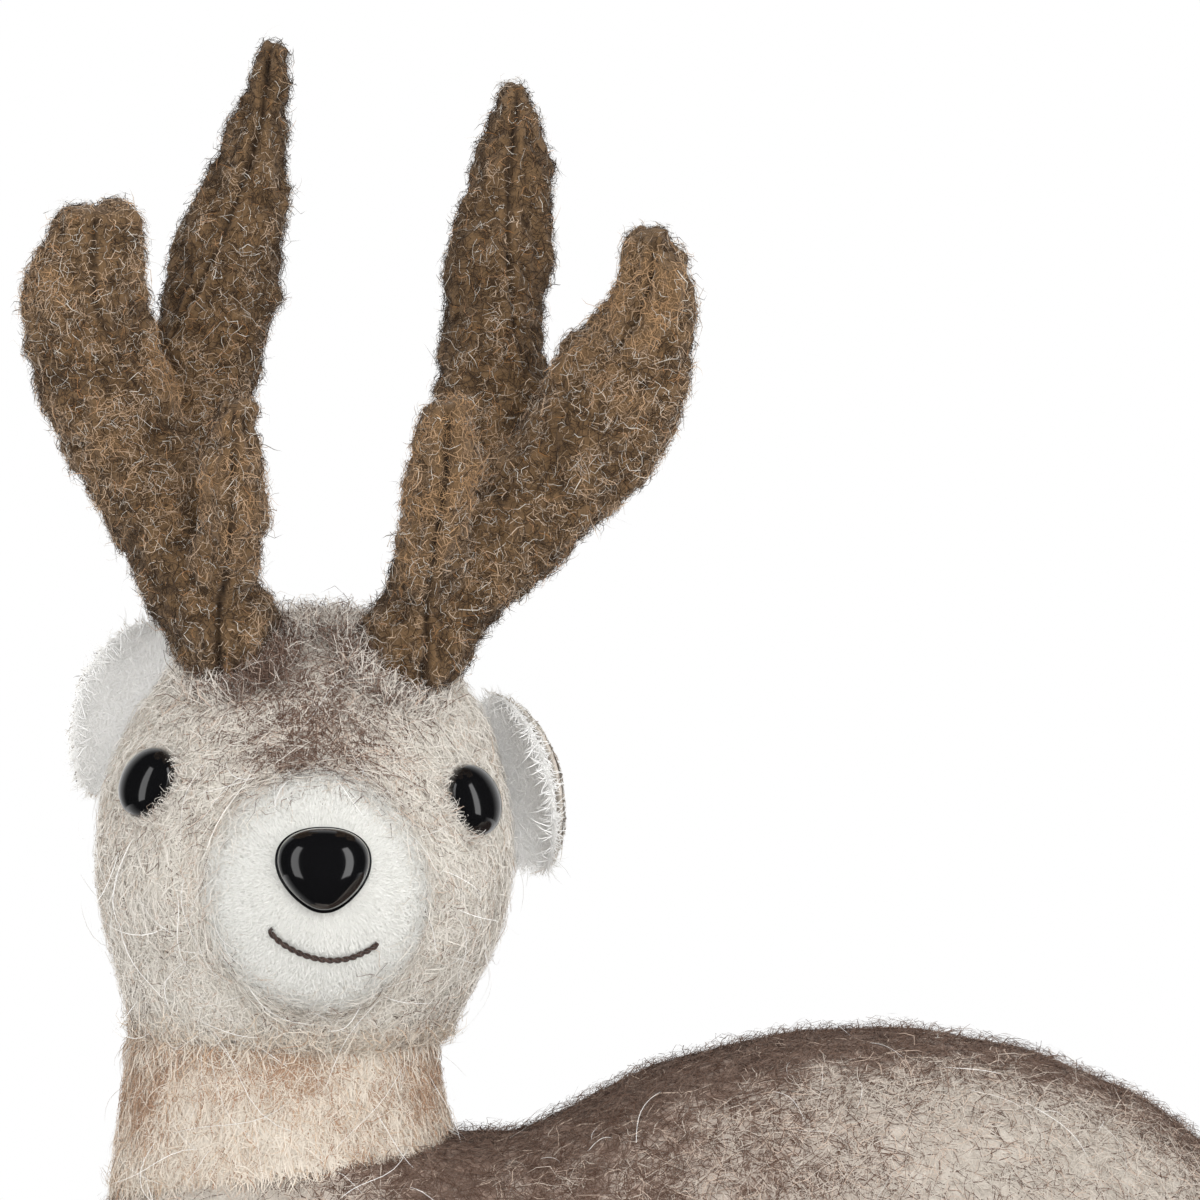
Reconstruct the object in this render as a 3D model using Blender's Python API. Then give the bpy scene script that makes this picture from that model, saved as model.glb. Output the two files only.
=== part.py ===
# A stuffed felt deer that lies on its folded legs, with its head turned to its side.
# Metres, +Z up. The body runs along X with the rump at +X, and the face looks along -Y.
# The origin is the middle of the underside of the whole toy.
# "left" and "right" are the deer's own: its left side is at +X on the head, and its
# left flank is at -Y on the body, the side that the face looks to.
import math

import bmesh
import bpy
from mathutils import Matrix, Vector
from mathutils.bvhtree import BVHTree

# Fabric, clearances and mesh fineness
FUR_CLOTH = 0.0020          # backing of the body, neck and head covers
PILE_CLOTH = 0.0022         # short pile cloth of the muzzle
GAP = 0.0003                # clearance between pieces that touch
STUFFING_GAP = 0.0004       # clearance between a cover and its stuffing
SWING_GAP = 0.0006          # clearance round pieces that swing
REST_CUT = 0.0005           # how deep a stuffed piece is pressed flat by the table
OVERRUN = 0.004             # how far every cutter runs past what it cuts
BODY_SIDES = 20
LIMB_SIDES = 12
TINE_SIDES = 8
WIRE_SIDES = 6
BALL_SIDES = 12
BALL_RINGS = 6
SHEET_COLUMNS = 8           # facets of the sewing line between an antler's two panels
SHEET_ROWS = 10
SHEET_STEPS = 4             # samples of a branch in each span, for the sewing line
PATH_STEPS = 2              # rings in each span of a smooth path
ROUND_SIDES = 16
DOME_RINGS = 5
EAR_COLUMNS = 5
HAUNCH_SIDES = 16
HAUNCH_RINGS = 10
SHARP_ANGLE = math.radians(40)
WELD_DISTANCE = GAP / 200   # points closer than this become one after a cut
TABLE_SIDE_SHARE = 4        # side of the table cutter, in body reaches

# Body
BODY_REACH = 0.202          # neck axis to the end of the rump
BODY_HEIGHT = 0.118
BODY_WIDTH = 0.098
BODY_SWAY = 0.012           # how far the rump lies back from the neck, along Y
BODY_FULLNESS = 2.15        # 2 is an ellipse, more is squarer

# Neck
NECK_TOP_WIDTH = 0.0575
NECK_TOP_DEPTH = 0.0560
NECK_BASE_WIDTH = 0.0650
NECK_BASE_DEPTH = 0.0610
NECK_LENGTH = 0.019142      # behind, from the seam on the body to the one under the chin
NECK_LEAN = 0.0015          # the top of the neck sits this far towards the back

# Head
HEAD_WIDTH = 0.0772
HEAD_HEIGHT = 0.0809
HEAD_DEPTH = 0.0740
HEAD_OFFSET = 0.0040        # centre of the head past the neck axis
HEAD_YAW = math.radians(5.5)
BROW_BULGE = 0.0120         # how far the face swells towards the muzzle
BULGE_SPREAD = math.radians(33)

# Muzzle
MUZZLE_WIDTH = 0.0416
MUZZLE_HEIGHT = 0.0446
MUZZLE_REACH = 0.0610       # head centre to the tip of the muzzle

# Glossy plastic nose and eyes, each with a post and a lock washer
NOSE_WIDTH = 0.0172
NOSE_HEIGHT = 0.0156
NOSE_DOME = 0.0068
NOSE_FLANGE = 0.0008
NOSE_STAND = 2 * GAP        # the flat flange clears the curved muzzle
NOSE_FULLNESS = 2.3
NOSE_TAPER_SHARE = 0.42     # how much narrower the lower end is
NOSE_TAPER_POWER = 1.6
EYE_DIAMETER = 0.0140
EYE_DOME = 0.0052
EYE_RIM = 0.0008
POST_DIAMETER = 0.0040
POST_LENGTH = 0.0125
WASHER_DIAMETER = 0.0120
WASHER_THICKNESS = 0.0018

# Stitched mouth
YARN_DIAMETER = 0.0013
YARN_STAND = 2 * GAP

# Ears
EAR_LENGTH = 0.0345
EAR_WIDTH = 0.0185
EAR_CUP = 0.0035
EAR_PILE = 0.0030
EAR_FELT = 0.0022

# Antlers
ANTLER_HEIGHT = 0.1180
ROOT_RADIUS = 0.0102
ROOT_STAND = 0.0040         # centre of the rounded root above the skin of the head
SHEET_HEIGHT_SHARES = (-0.16, 1.10)     # extent of the sewing line from the root, upward
SHEET_DEPTH_SHARES = (-0.34, 0.34)      # and along the deer's facing direction
SHEET_BLUR_SHARE = 0.0004               # how far its bends are smoothed, squared
WIRE_DIAMETER = 0.0016
WIRE_SLACK = 0.0004

# Legs, hooves and tail
HAUNCH_LENGTH = 0.0880
HAUNCH_WIDTH = 0.0500
HAUNCH_HEIGHT = 0.0840
THIGH_RADIUS = 0.0170
SHANK_RADIUS = 0.0100
FORELEG_LENGTH = 0.0660
HINDLEG_LENGTH = 0.0780
HOOF_LENGTH = 0.0175
HOOF_RADIUS = 0.0088
TAIL_LENGTH = 0.0360
TAIL_RADIUS = 0.0090

# Rings of the body cover behind the neck seam. Each ring runs from a point on the back
# to a point on the chest or belly. Columns: back x, back z, belly x, belly z, half
# width, sway; x in body reaches, z in body heights, width in half body widths.
BODY_RING_SHARES = (
    (0.168, 0.833, -0.203, 0.542, 0.72, 0.04),
    (0.186, 0.834, -0.203, 0.339, 0.80, 0.09),
    (0.203, 0.835, -0.139, 0.136, 0.86, 0.14),
    (0.228, 0.839, 0.010, 0.014, 0.88, 0.20),
    (0.282, 0.881, 0.188, 0.0, 0.90, 0.28),
    (0.376, 0.952, 0.366, 0.0, 0.94, 0.40),
    (0.515, 1.0, 0.535, 0.0, 0.99, 0.55),
    (0.653, 0.987, 0.683, 0.0, 1.0, 0.70),
    (0.762, 0.932, 0.812, 0.042, 0.90, 0.82),
    (0.847, 0.856, 0.911, 0.153, 0.74, 0.90),
    (0.916, 0.737, 0.970, 0.314, 0.52, 0.96),
    (0.960, 0.619, 0.990, 0.441, 0.28, 1.0),
)
BODY_POLE_SHARE = (1.0, 0.525)
NECK_SEAM_BACK_SHARE = 0.831    # height of the neck seam behind and in front
NECK_SEAM_CHEST_SHARE = 0.746
NECK_TOP_HEIGHT = NECK_SEAM_BACK_SHARE * BODY_HEIGHT + NECK_LENGTH
NECK_RING_SHARES = (0.0, 0.34, 0.68, 1.0)

# Rings of the head from the chin seam to the crown. Columns: height, half width,
# depth in front, depth behind, sideways drift; in head heights and half sizes.
HEAD_RING_SHARES = (
    (0.000, 0.760, 0.760, 0.760, -0.070),
    (0.104, 0.847, 0.840, 0.820, -0.030),
    (0.221, 0.940, 0.930, 0.900, 0.000),
    (0.337, 0.990, 0.980, 0.960, 0.000),
    (0.454, 1.000, 0.990, 1.000, 0.000),
    (0.571, 0.977, 0.950, 1.000, 0.010),
    (0.687, 0.904, 0.870, 0.950, 0.023),
    (0.805, 0.772, 0.735, 0.830, 0.039),
    (0.897, 0.610, 0.580, 0.670, 0.047),
    (0.962, 0.385, 0.365, 0.420, 0.060),
    (0.991, 0.190, 0.180, 0.205, 0.064),
)
HEAD_POLE_SHARE = 0.065
BULGE_HEIGHT_SHARE = 0.360
BULGE_TALL_SHARE = 0.200
SLOPE_STEP = 0.01               # step over which the slope of the head's skin is taken

# Muzzle rings from its root to its tip: distance in muzzle reaches, size in half sizes
MUZZLE_RING_SHARES = (
    (0.520, 1.080), (0.610, 1.050), (0.690, 0.985), (0.770, 0.880),
    (0.850, 0.725), (0.920, 0.525), (0.970, 0.310),
)

# Eyes and ears on the skin of the head: height share, then angle from the face
EYE_SHARES = {"right": (0.600, -46.5), "left": (0.560, 51.5)}
NOSE_RISE_SHARE = 0.19
# Smile, in half muzzle sizes from the middle of the muzzle: across, up
SMILE_SHARES = (
    (-0.455, -0.295), (-0.34, -0.395), (-0.16, -0.485), (0.03, -0.53),
    (0.20, -0.525), (0.36, -0.475), (0.485, -0.41),
)

# Ear roots: height share and angle from the face; lean of the leaf from straight down
EAR_SHARES = {"right": (0.845, -104.0), "left": (0.690, 106.0)}
EAR_LEAN = {"right": math.radians(-20), "left": math.radians(17)}
EAR_TURN = {"right": math.radians(10), "left": math.radians(-40)}
EAR_HALF_WIDTH_SHARES = ((0.08, 0.50), (0.2, 0.78), (0.36, 0.97), (0.52, 1.0), (0.7, 0.86),
                         (0.85, 0.62), (0.95, 0.34))
EAR_ROOT_SHARE = 0.24           # how far along the leaf its sewn root lies
EAR_EDGE_SHARE = 0.55           # thickness of the leaf's rim
EAR_ACROSS_SHARES = {"right": 0.37, "left": 0.28}     # middle line past the root, in widths

# Antlers: axis points as out from the middle, forward, up, thickness across, thickness
# along; all in antler heights. The first point of a tine lies on the beam.
BEAM_SHARES = {
    "right": ((0.0, 0.0, 0.0, 0.086, 0.080), (0.050, -0.020, 0.085, 0.082, 0.085),
              (0.108, -0.040, 0.215, 0.090, 0.095), (0.160, -0.040, 0.320, 0.098, 0.096),
              (0.212, -0.010, 0.430, 0.102, 0.088), (0.228, 0.030, 0.535, 0.098, 0.080),
              (0.218, 0.060, 0.620, 0.084, 0.068), (0.208, 0.078, 0.675, 0.062, 0.050)),
    "left": ((0.0, 0.0, 0.0, 0.084, 0.080), (0.066, -0.020, 0.088, 0.084, 0.085),
             (0.150, -0.040, 0.185, 0.094, 0.094), (0.244, -0.040, 0.285, 0.102, 0.094),
             (0.324, -0.010, 0.400, 0.106, 0.086), (0.380, 0.030, 0.515, 0.080, 0.074),
             (0.396, 0.055, 0.600, 0.056, 0.058), (0.386, 0.070, 0.660, 0.036, 0.038)),
}
REAR_TINE_SHARES = {
    "right": ((0.095, -0.060, 0.200, 0.066, 0.064), (0.074, -0.110, 0.350, 0.088, 0.072),
              (0.028, -0.165, 0.520, 0.088, 0.078), (-0.008, -0.190, 0.680, 0.076, 0.072),
              (-0.040, -0.200, 0.820, 0.052, 0.058), (-0.062, -0.205, 0.940, 0.032, 0.036)),
    "left": ((0.150, -0.060, 0.210, 0.066, 0.064), (0.138, -0.115, 0.340, 0.086, 0.072),
             (0.134, -0.165, 0.490, 0.082, 0.078), (0.142, -0.190, 0.640, 0.078, 0.074),
             (0.160, -0.200, 0.780, 0.060, 0.062), (0.172, -0.205, 0.890, 0.032, 0.036)),
}
BROW_TINE_SHARES = {
    "right": ((0.010, 0.020, 0.075, 0.056, 0.050), (-0.008, 0.105, 0.180, 0.052, 0.054),
              (-0.014, 0.150, 0.290, 0.048, 0.050), (-0.022, 0.172, 0.365, 0.032, 0.034)),
    "left": ((0.020, 0.020, 0.070, 0.058, 0.050), (0.040, 0.105, 0.170, 0.056, 0.054),
             (0.062, 0.150, 0.290, 0.052, 0.050), (0.062, 0.172, 0.370, 0.034, 0.034)),
}
TIP_SHARES = (0.55, 0.55)       # lengths of a branch's rounded ends, in its thickness
WIRE_TIP_SHARES = (1.0, 1.0)
ROUND_TIP_SHARES = (0.6, 0.6)
ANKLE_TIP_SHARES = (0.5, 0.0)
HOOF_TIP_SHARES = (0.0, 0.4)
ANTLER_SEAT_SHARES = {"right": (0.905, -38.0), "left": (0.885, 44.0)}

# Legs: centre points in body reaches (x), half body widths (y) and body heights (z),
# with radius in the leg's own radius
THIGH_SHARES = ((0.100, 0.62, 0.500, 1.04), (0.030, 0.76, 0.425, 1.12),
                (-0.060, 0.86, 0.310, 0.88), (-0.155, 0.84, 0.205, 0.64))
HAUNCH_SHARE = (0.725, 0.78, 0.385)
FORE_SHANK_SHARE = (-0.205, 0.80)       # where the folded fore shank begins: x, y
HIND_SHANK_SHARE = (0.930, 1.0)
FORE_TOE_IN_SHARE = -0.02      # sideways over forward run of a shank
HIND_TOE_IN_SHARE = 0.01
SHANK_TAPER_SHARES = ((0.0, 0.72), (0.12, 1.0), (0.45, 0.93), (0.8, 0.80), (1.0, 0.78))
HOOF_TAPER_SHARES = ((0.0, 0.86), (0.3, 1.0), (0.68, 0.92), (0.92, 0.62))
TAIL_SEAT_SHARE = (0.972, 0.665)
TAIL_RING_SHARES = ((0.0, 0.55), (0.18, 0.86), (0.45, 1.0), (0.72, 0.84), (0.92, 0.5))
TAIL_FLATNESS_SHARE = 0.8
TAIL_SLOPE = math.radians(58)

COLOURS = {
    "cream_fur": ((0.60, 0.53, 0.45), 0.9),
    "stuffing": ((0.85, 0.84, 0.80), 1.0),
    "white_pile": ((0.86, 0.85, 0.83), 0.9),
    "antler_felt": ((0.16, 0.105, 0.065), 0.9),
    "black_gloss": ((0.006, 0.006, 0.007), 0.08),
    "washer_plastic": ((0.75, 0.75, 0.72), 0.5),
    "yarn": ((0.06, 0.03, 0.02), 0.85),
    "steel_wire": ((0.45, 0.45, 0.45), 0.35),
    "hoof_felt": ((0.09, 0.055, 0.035), 0.9),
}
METAL_FINISHES = {"steel_wire": 1.0}


def clear_scene():
    for old in list(bpy.data.objects):
        bpy.data.objects.remove(old)


def material(finish):
    found = bpy.data.materials.get(finish)
    if found:
        return found
    made = bpy.data.materials.new(finish)
    made.use_nodes = True
    shader = made.node_tree.nodes["Principled BSDF"]
    colour, roughness = COLOURS[finish]
    shader.inputs["Base Color"].default_value = (*colour, 1.0)
    shader.inputs["Roughness"].default_value = roughness
    shader.inputs["Metallic"].default_value = METAL_FINISHES.get(finish, 0.0)
    made.diffuse_color = (*colour, 1.0)
    return made


def new_object(name, mesh):
    made = bpy.data.objects.new(name, mesh)
    bpy.context.scene.collection.objects.link(made)
    return made


def skin(name, rings, wrap=False):
    """Closed mesh through rings of equal count; a ring of one point is a pole, and an
    end ring that isn't a pole gets a flat cap unless the rings wrap round. Each quad is
    split at its shorter diagonal, so that nested surfaces keep their distance."""
    bm = bmesh.new()
    rows = [[bm.verts.new(point) for point in ring] for ring in rings]
    pairs = list(zip(rows, rows[1:]))
    if wrap:
        pairs.append((rows[-1], rows[0]))
    for low, high in pairs:
        count = max(len(low), len(high))
        for i in range(count):
            j = (i + 1) % count
            if len(low) == 1:
                bm.faces.new((low[0], high[j], high[i]))
            elif len(high) == 1:
                bm.faces.new((low[i], low[j], high[0]))
            elif (low[i].co - high[j].co).length <= (low[j].co - high[i].co).length:
                bm.faces.new((low[i], low[j], high[j]))
                bm.faces.new((low[i], high[j], high[i]))
            else:
                bm.faces.new((low[i], low[j], high[i]))
                bm.faces.new((low[j], high[j], high[i]))
    if not wrap:
        for row in (rows[0], rows[-1]):
            if len(row) > 1:
                bm.faces.new(row)
    bmesh.ops.recalc_face_normals(bm, faces=bm.faces)
    bmesh.ops.triangulate(bm, faces=[face for face in bm.faces if len(face.verts) > 4])
    mesh = bpy.data.meshes.new(name)
    bm.to_mesh(mesh)
    bm.free()
    return new_object(name, mesh)


def offset_rings(rings, distance, flat_start=False, flat_end=False):
    """Rings moved along the outward normals of the surface through them. A flat end
    keeps its own plane, so that its rim stays a flat face."""
    moved = []
    last = len(rings) - 1
    for k, ring in enumerate(rings):
        if len(ring) == 1:
            inner = rings[k - 1] if k == last else rings[k + 1]
            middle = sum(inner, Vector()) / len(inner)
            moved.append([ring[0] + (ring[0] - middle).normalized() * distance])
            continue
        middle = sum(ring, Vector()) / len(ring)
        before = rings[max(k - 1, 0)]
        after = rings[min(k + 1, last)]
        count = len(ring)
        flat = (flat_start and k == 0) or (flat_end and k == last)
        plane = (ring[count // 4] - middle).cross(ring[0] - middle).normalized()
        new_ring = []
        for i, point in enumerate(ring):
            along = (after[i] if len(after) > 1 else after[0]) - (
                before[i] if len(before) > 1 else before[0])
            around = ring[(i + 1) % count] - ring[i - 1]
            normal = along.cross(around).normalized()
            if normal.dot(point - middle) < 0:
                normal.negate()
            if flat:
                normal = (normal - plane * normal.dot(plane)).normalized()
            new_ring.append(point + normal * distance)
        moved.append(new_ring)
    return moved


def cup(name, rings, wall):
    """A cover, open at its first ring and closed at its last one, a pole."""
    inner = offset_rings(rings, -wall, flat_start=True)
    return skin(name, list(reversed(rings)) + inner)


def boolean(target, cutters, operation):
    """Apply one exact Boolean with each cutter and keep the result as a plain mesh."""
    for cutter in cutters:
        cutter.hide_render = True
        cutter.display_type = "WIRE"
        step = target.modifiers.new("cut", "BOOLEAN")
        step.operation = operation
        step.solver = "EXACT"
        step.object = cutter
    bpy.context.view_layer.update()
    shape = target.evaluated_get(bpy.context.evaluated_depsgraph_get())
    mesh = bpy.data.meshes.new_from_object(shape)
    target.modifiers.clear()
    target.data = mesh
    for cutter in cutters:
        bpy.data.objects.remove(cutter)
    bm = bmesh.new()
    bm.from_mesh(mesh)
    bmesh.ops.triangulate(bm, faces=bm.faces)
    bmesh.ops.remove_doubles(bm, verts=bm.verts, dist=WELD_DISTANCE)
    bm.to_mesh(mesh)
    bm.free()
    return target


def finish(piece, finish_name, smooth=True):
    piece.data.materials.clear()
    piece.data.materials.append(material(finish_name))
    if smooth:
        piece.data.shade_smooth()
        piece.data.set_sharp_from_angle(angle=SHARP_ANGLE)
    return piece


def pivot(name, place, parent, axis=Vector((0.0, 0.0, 1.0))):
    """An empty on a joint's axis, its local Z along it, which carries a moving body."""
    made = bpy.data.objects.new(name, None)
    bpy.context.scene.collection.objects.link(made)
    made.parent = parent
    made.matrix_world = Matrix.Translation(place) @ axis.to_track_quat("Z", "Y").to_matrix().to_4x4()
    bpy.context.view_layer.update()
    return made


def carry(parent, pieces):
    for piece in pieces:
        piece.parent = parent
        piece.matrix_parent_inverse = parent.matrix_world.inverted()


def superellipse(angle, power):
    """Unit superellipse point at an angle."""
    c = math.cos(angle)
    s = math.sin(angle)
    reach = (abs(c) ** power + abs(s) ** power) ** (-1 / power)
    return c * reach, s * reach


def ring_between(back, belly, half_width, sway, sides, power):
    """Ring whose height runs from a point on the back to one on the belly."""
    middle = (back + belly) / 2 + Vector((0.0, sway, 0.0))
    tall = (back - belly) / 2
    ring = []
    for i in range(sides):
        c, s = superellipse(math.tau * i / sides, power)
        ring.append(middle + tall * c + Vector((0.0, half_width * s, 0.0)))
    return ring


def press_flat(piece):
    """Cut a piece at the table's face, z = 0."""
    side = TABLE_SIDE_SHARE * BODY_REACH
    bpy.ops.mesh.primitive_cube_add(size=1)
    table = bpy.context.object
    table.data.transform(Matrix.Diagonal((side, side, side, 1.0)))
    table.data.transform(Matrix.Translation((0.0, 0.0, -side / 2)))
    return boolean(piece, [table], "DIFFERENCE")


def body_rings():
    """The cover's rings from the tilted neck seam to the rump."""
    rings = [neck_seam_ring()]
    for bx, bz, cx, cz, width, sway in BODY_RING_SHARES:
        back = Vector((bx * BODY_REACH, 0.0, bz * BODY_HEIGHT))
        belly = Vector((cx * BODY_REACH, 0.0, cz * BODY_HEIGHT - REST_CUT))
        rings.append(ring_between(back, belly, width * BODY_WIDTH / 2,
                                  sway * BODY_SWAY, BODY_SIDES, BODY_FULLNESS))
    x, z = BODY_POLE_SHARE
    rings.append([Vector((x * BODY_REACH, BODY_SWAY, z * BODY_HEIGHT))])
    return rings


def neck_seam_ring():
    back = Vector((NECK_BASE_WIDTH / 2, 0.0, NECK_SEAM_BACK_SHARE * BODY_HEIGHT))
    chest = Vector((-NECK_BASE_WIDTH / 2, 0.0, NECK_SEAM_CHEST_SHARE * BODY_HEIGHT))
    return ring_between(back, chest, NECK_BASE_DEPTH / 2, 0.0, BODY_SIDES, 2)


def neck_rings():
    """From the seam on the body, GAP above it, to the flat seam under the chin."""
    low = [point + Vector((0.0, 0.0, GAP)) for point in neck_seam_ring()]
    back = Vector((NECK_TOP_WIDTH / 2, NECK_LEAN, NECK_TOP_HEIGHT))
    front = Vector((-NECK_TOP_WIDTH / 2, NECK_LEAN, NECK_TOP_HEIGHT))
    high = ring_between(back, front, NECK_TOP_DEPTH / 2, 0.0, BODY_SIDES, 2)
    return [[a.lerp(b, share) for a, b in zip(low, high)] for share in NECK_RING_SHARES]


HEAD_BASE = NECK_TOP_HEIGHT + GAP


def head_profile(height_share):
    """Half width, front depth, back depth and drift at a height, between the rings."""
    rows = HEAD_RING_SHARES
    for low, high in zip(rows, rows[1:]):
        if height_share <= high[0]:
            part = max(0.0, (height_share - low[0]) / (high[0] - low[0]))
            return [a + (b - a) * part for a, b in zip(low[1:], high[1:])]
    return list(rows[-1][1:])


def head_point(height_share, angle):
    """Point on the skin of the head; angle 0 is the middle of the face, plus is +X."""
    width, front, behind, drift = head_profile(height_share)
    depth = front if math.cos(angle) > 0 else behind
    away = (math.remainder(angle - HEAD_YAW, math.tau)) / BULGE_SPREAD
    rise = (height_share - BULGE_HEIGHT_SHARE) / BULGE_TALL_SHARE
    bulge = BROW_BULGE * math.exp(-(away * away + rise * rise) / 2)
    x = math.sin(angle) * (width * HEAD_WIDTH / 2 + bulge) + drift * HEAD_WIDTH / 2
    y = -math.cos(angle) * (depth * HEAD_DEPTH / 2 + bulge)
    return Vector((x + HEAD_OFFSET, y + NECK_LEAN, HEAD_BASE + height_share * HEAD_HEIGHT))


def head_normal(height_share, angle):
    step = SLOPE_STEP
    around = head_point(height_share, angle + step) - head_point(height_share, angle - step)
    upward = head_point(height_share + step, angle) - head_point(height_share - step, angle)
    return around.cross(upward).normalized()


def head_rings():
    rings = []
    for row in HEAD_RING_SHARES:
        rings.append([head_point(row[0], math.tau * i / BODY_SIDES) for i in range(BODY_SIDES)])
    crown = Vector((HEAD_OFFSET + HEAD_POLE_SHARE * HEAD_WIDTH / 2, NECK_LEAN,
                    HEAD_BASE + HEAD_HEIGHT))
    rings.append([crown])
    return rings


def face_direction():
    return Vector((math.sin(HEAD_YAW), -math.cos(HEAD_YAW), 0.0))


def muzzle_middle():
    """Point on the head's middle line that the muzzle's axis starts from."""
    return Vector((HEAD_OFFSET, NECK_LEAN, HEAD_BASE + BULGE_HEIGHT_SHARE * HEAD_HEIGHT))


def muzzle_rings():
    ahead = face_direction()
    across = Vector((-ahead.y, ahead.x, 0.0))
    rings = []
    for distance, size in MUZZLE_RING_SHARES:
        middle = muzzle_middle() + ahead * distance * MUZZLE_REACH
        ring = []
        for i in range(BODY_SIDES):
            angle = math.tau * i / BODY_SIDES
            ring.append(middle + across * math.cos(angle) * size * MUZZLE_WIDTH / 2
                        + Vector((0.0, 0.0, math.sin(angle) * size * MUZZLE_HEIGHT / 2)))
        rings.append(ring)
    rings.append([muzzle_middle() + ahead * MUZZLE_REACH])
    return rings


def aim(place, direction, up=Vector((0.0, 0.0, 1.0))):
    """Frame at a place whose local Z is the direction and local Y leans up."""
    z = direction.normalized()
    x = up.cross(z).normalized()
    y = z.cross(x)
    frame = Matrix((x, y, z)).transposed().to_4x4()
    frame.translation = place
    return frame


def turned(name, profile, frame, sides):
    """Solid turned round local Z from (radius, height) pairs; radius 0 is a pole."""
    rings = []
    for radius, height in profile:
        if radius == 0:
            rings.append([frame @ Vector((0.0, 0.0, height))])
        else:
            rings.append([frame @ Vector((radius * math.cos(math.tau * i / sides),
                                          radius * math.sin(math.tau * i / sides), height))
                          for i in range(sides)])
    return skin(name, rings)


def dome_profile(radius, rim, dome):
    """Rim and dome of a plastic eye above its flat back."""
    rows = [(radius, 0.0), (radius, rim)]
    for k in range(1, DOME_RINGS):
        angle = math.pi / 2 * k / DOME_RINGS
        rows.append((radius * math.cos(angle), rim + (dome - rim) * math.sin(angle)))
    rows.append((0, dome))
    return rows


def post_profile():
    return [(0, -POST_LENGTH), (POST_DIAMETER / 2, -POST_LENGTH), (POST_DIAMETER / 2, 0.0)]


def eye(side):
    share, degrees = EYE_SHARES[side]
    angle = math.radians(degrees)
    normal = head_normal(share, angle)
    frame = aim(head_point(share, angle) + normal * GAP, normal)
    profile = post_profile() + dome_profile(EYE_DIAMETER / 2, EYE_RIM, EYE_DOME)
    return turned(side + "_eye", profile, frame, ROUND_SIDES), frame


def washer(name, frame, depth):
    """Lock washer round a post, its outer face at a depth below the skin."""
    outer = WASHER_DIAMETER / 2
    inner = POST_DIAMETER / 2 + GAP
    low = -depth - WASHER_THICKNESS
    rows = [(outer, -depth), (outer, low), (inner, low), (inner, -depth)]
    rings = [[frame @ Vector((r * math.cos(math.tau * i / ROUND_SIDES),
                              r * math.sin(math.tau * i / ROUND_SIDES), h))
              for i in range(ROUND_SIDES)] for r, h in rows]
    return skin(name, rings, wrap=True)


def seat_depth(lining, frame):
    """Depth at which a flat washer meets a curved lining, seen from inside."""
    tree = surface_tree(lining)
    inward = -frame.col[2].to_3d()
    deepest = 0.0
    for reach in (POST_DIAMETER / 2, WASHER_DIAMETER / 2):
        for i in range(ROUND_SIDES):
            angle = math.tau * i / ROUND_SIDES
            start = frame @ Vector((reach * math.cos(angle), reach * math.sin(angle),
                                    -POST_LENGTH))
            place, *_ = tree.ray_cast(start, -inward)
            if place:
                deepest = max(deepest, (place - frame.translation).dot(inward))
    return deepest + GAP


def post_hole(frame):
    radius = POST_DIAMETER / 2 + GAP
    profile = [(0, -POST_LENGTH - OVERRUN), (radius, -POST_LENGTH - OVERRUN),
               (radius, OVERRUN), (0, OVERRUN)]
    return turned("post_hole", profile, frame, ROUND_SIDES)


def washer_room(frame, depth):
    """Space in the stuffing for a post and its washer."""
    wide = WASHER_DIAMETER / 2 + GAP
    low = -depth - WASHER_THICKNESS - GAP
    slim = POST_DIAMETER / 2 + GAP
    end = -POST_LENGTH - GAP
    profile = [(0, end), (slim, end), (slim, low), (wide, low), (wide, OVERRUN), (0, OVERRUN)]
    return turned("washer_room", profile, frame, ROUND_SIDES)


def nose_outline(angle, grow=0.0):
    """Rounded triangle, wide above: the lower half narrows to a blunt point."""
    c, s = superellipse(angle, NOSE_FULLNESS)
    narrow = 1.0 if s > 0 else 1.0 - NOSE_TAPER_SHARE * abs(s) ** NOSE_TAPER_POWER
    return ((NOSE_WIDTH / 2 + grow) * c * narrow, (NOSE_HEIGHT / 2 + grow) * s)


def nose(frame):
    sides = BODY_SIDES
    rings = [[frame @ Vector((0.0, 0.0, -POST_LENGTH))]]
    for height in (-POST_LENGTH, 0.0):
        rings.append([frame @ Vector((POST_DIAMETER / 2 * math.cos(math.tau * i / sides),
                                      POST_DIAMETER / 2 * math.sin(math.tau * i / sides),
                                      height)) for i in range(sides)])
    rows = [(NOSE_FLANGE, 0.0, 1.0), (NOSE_FLANGE, NOSE_FLANGE, 1.0), (0.0, NOSE_FLANGE, 1.0)]
    for k in range(1, DOME_RINGS):
        angle = math.pi / 2 * k / DOME_RINGS
        rows.append((0.0, NOSE_FLANGE + (NOSE_DOME - NOSE_FLANGE) * math.sin(angle),
                     math.cos(angle)))
    for grow, height, size in rows:
        ring = []
        for i in range(sides):
            x, y = nose_outline(math.tau * i / sides, grow)
            ring.append(frame @ Vector((x * size, y * size, height)))
        rings.append(ring)
    rings.append([frame @ Vector((0.0, 0.0, NOSE_DOME))])
    return skin("nose", rings)


def surface_tree(piece):
    bm = bmesh.new()
    bm.from_mesh(piece.data)
    tree = BVHTree.FromBMesh(bm)
    bm.free()
    return tree


def face_hit(tree, across_share, up_share):
    """Point and normal where a line along the muzzle's axis meets the muzzle."""
    ahead = face_direction()
    across = Vector((-ahead.y, ahead.x, 0.0))
    start = (muzzle_middle() + ahead * (MUZZLE_REACH + OVERRUN)
             + across * across_share * MUZZLE_WIDTH / 2
             + Vector((0.0, 0.0, up_share * MUZZLE_HEIGHT / 2)))
    place, normal, _, _ = tree.ray_cast(start, -ahead)
    return place, normal


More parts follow.
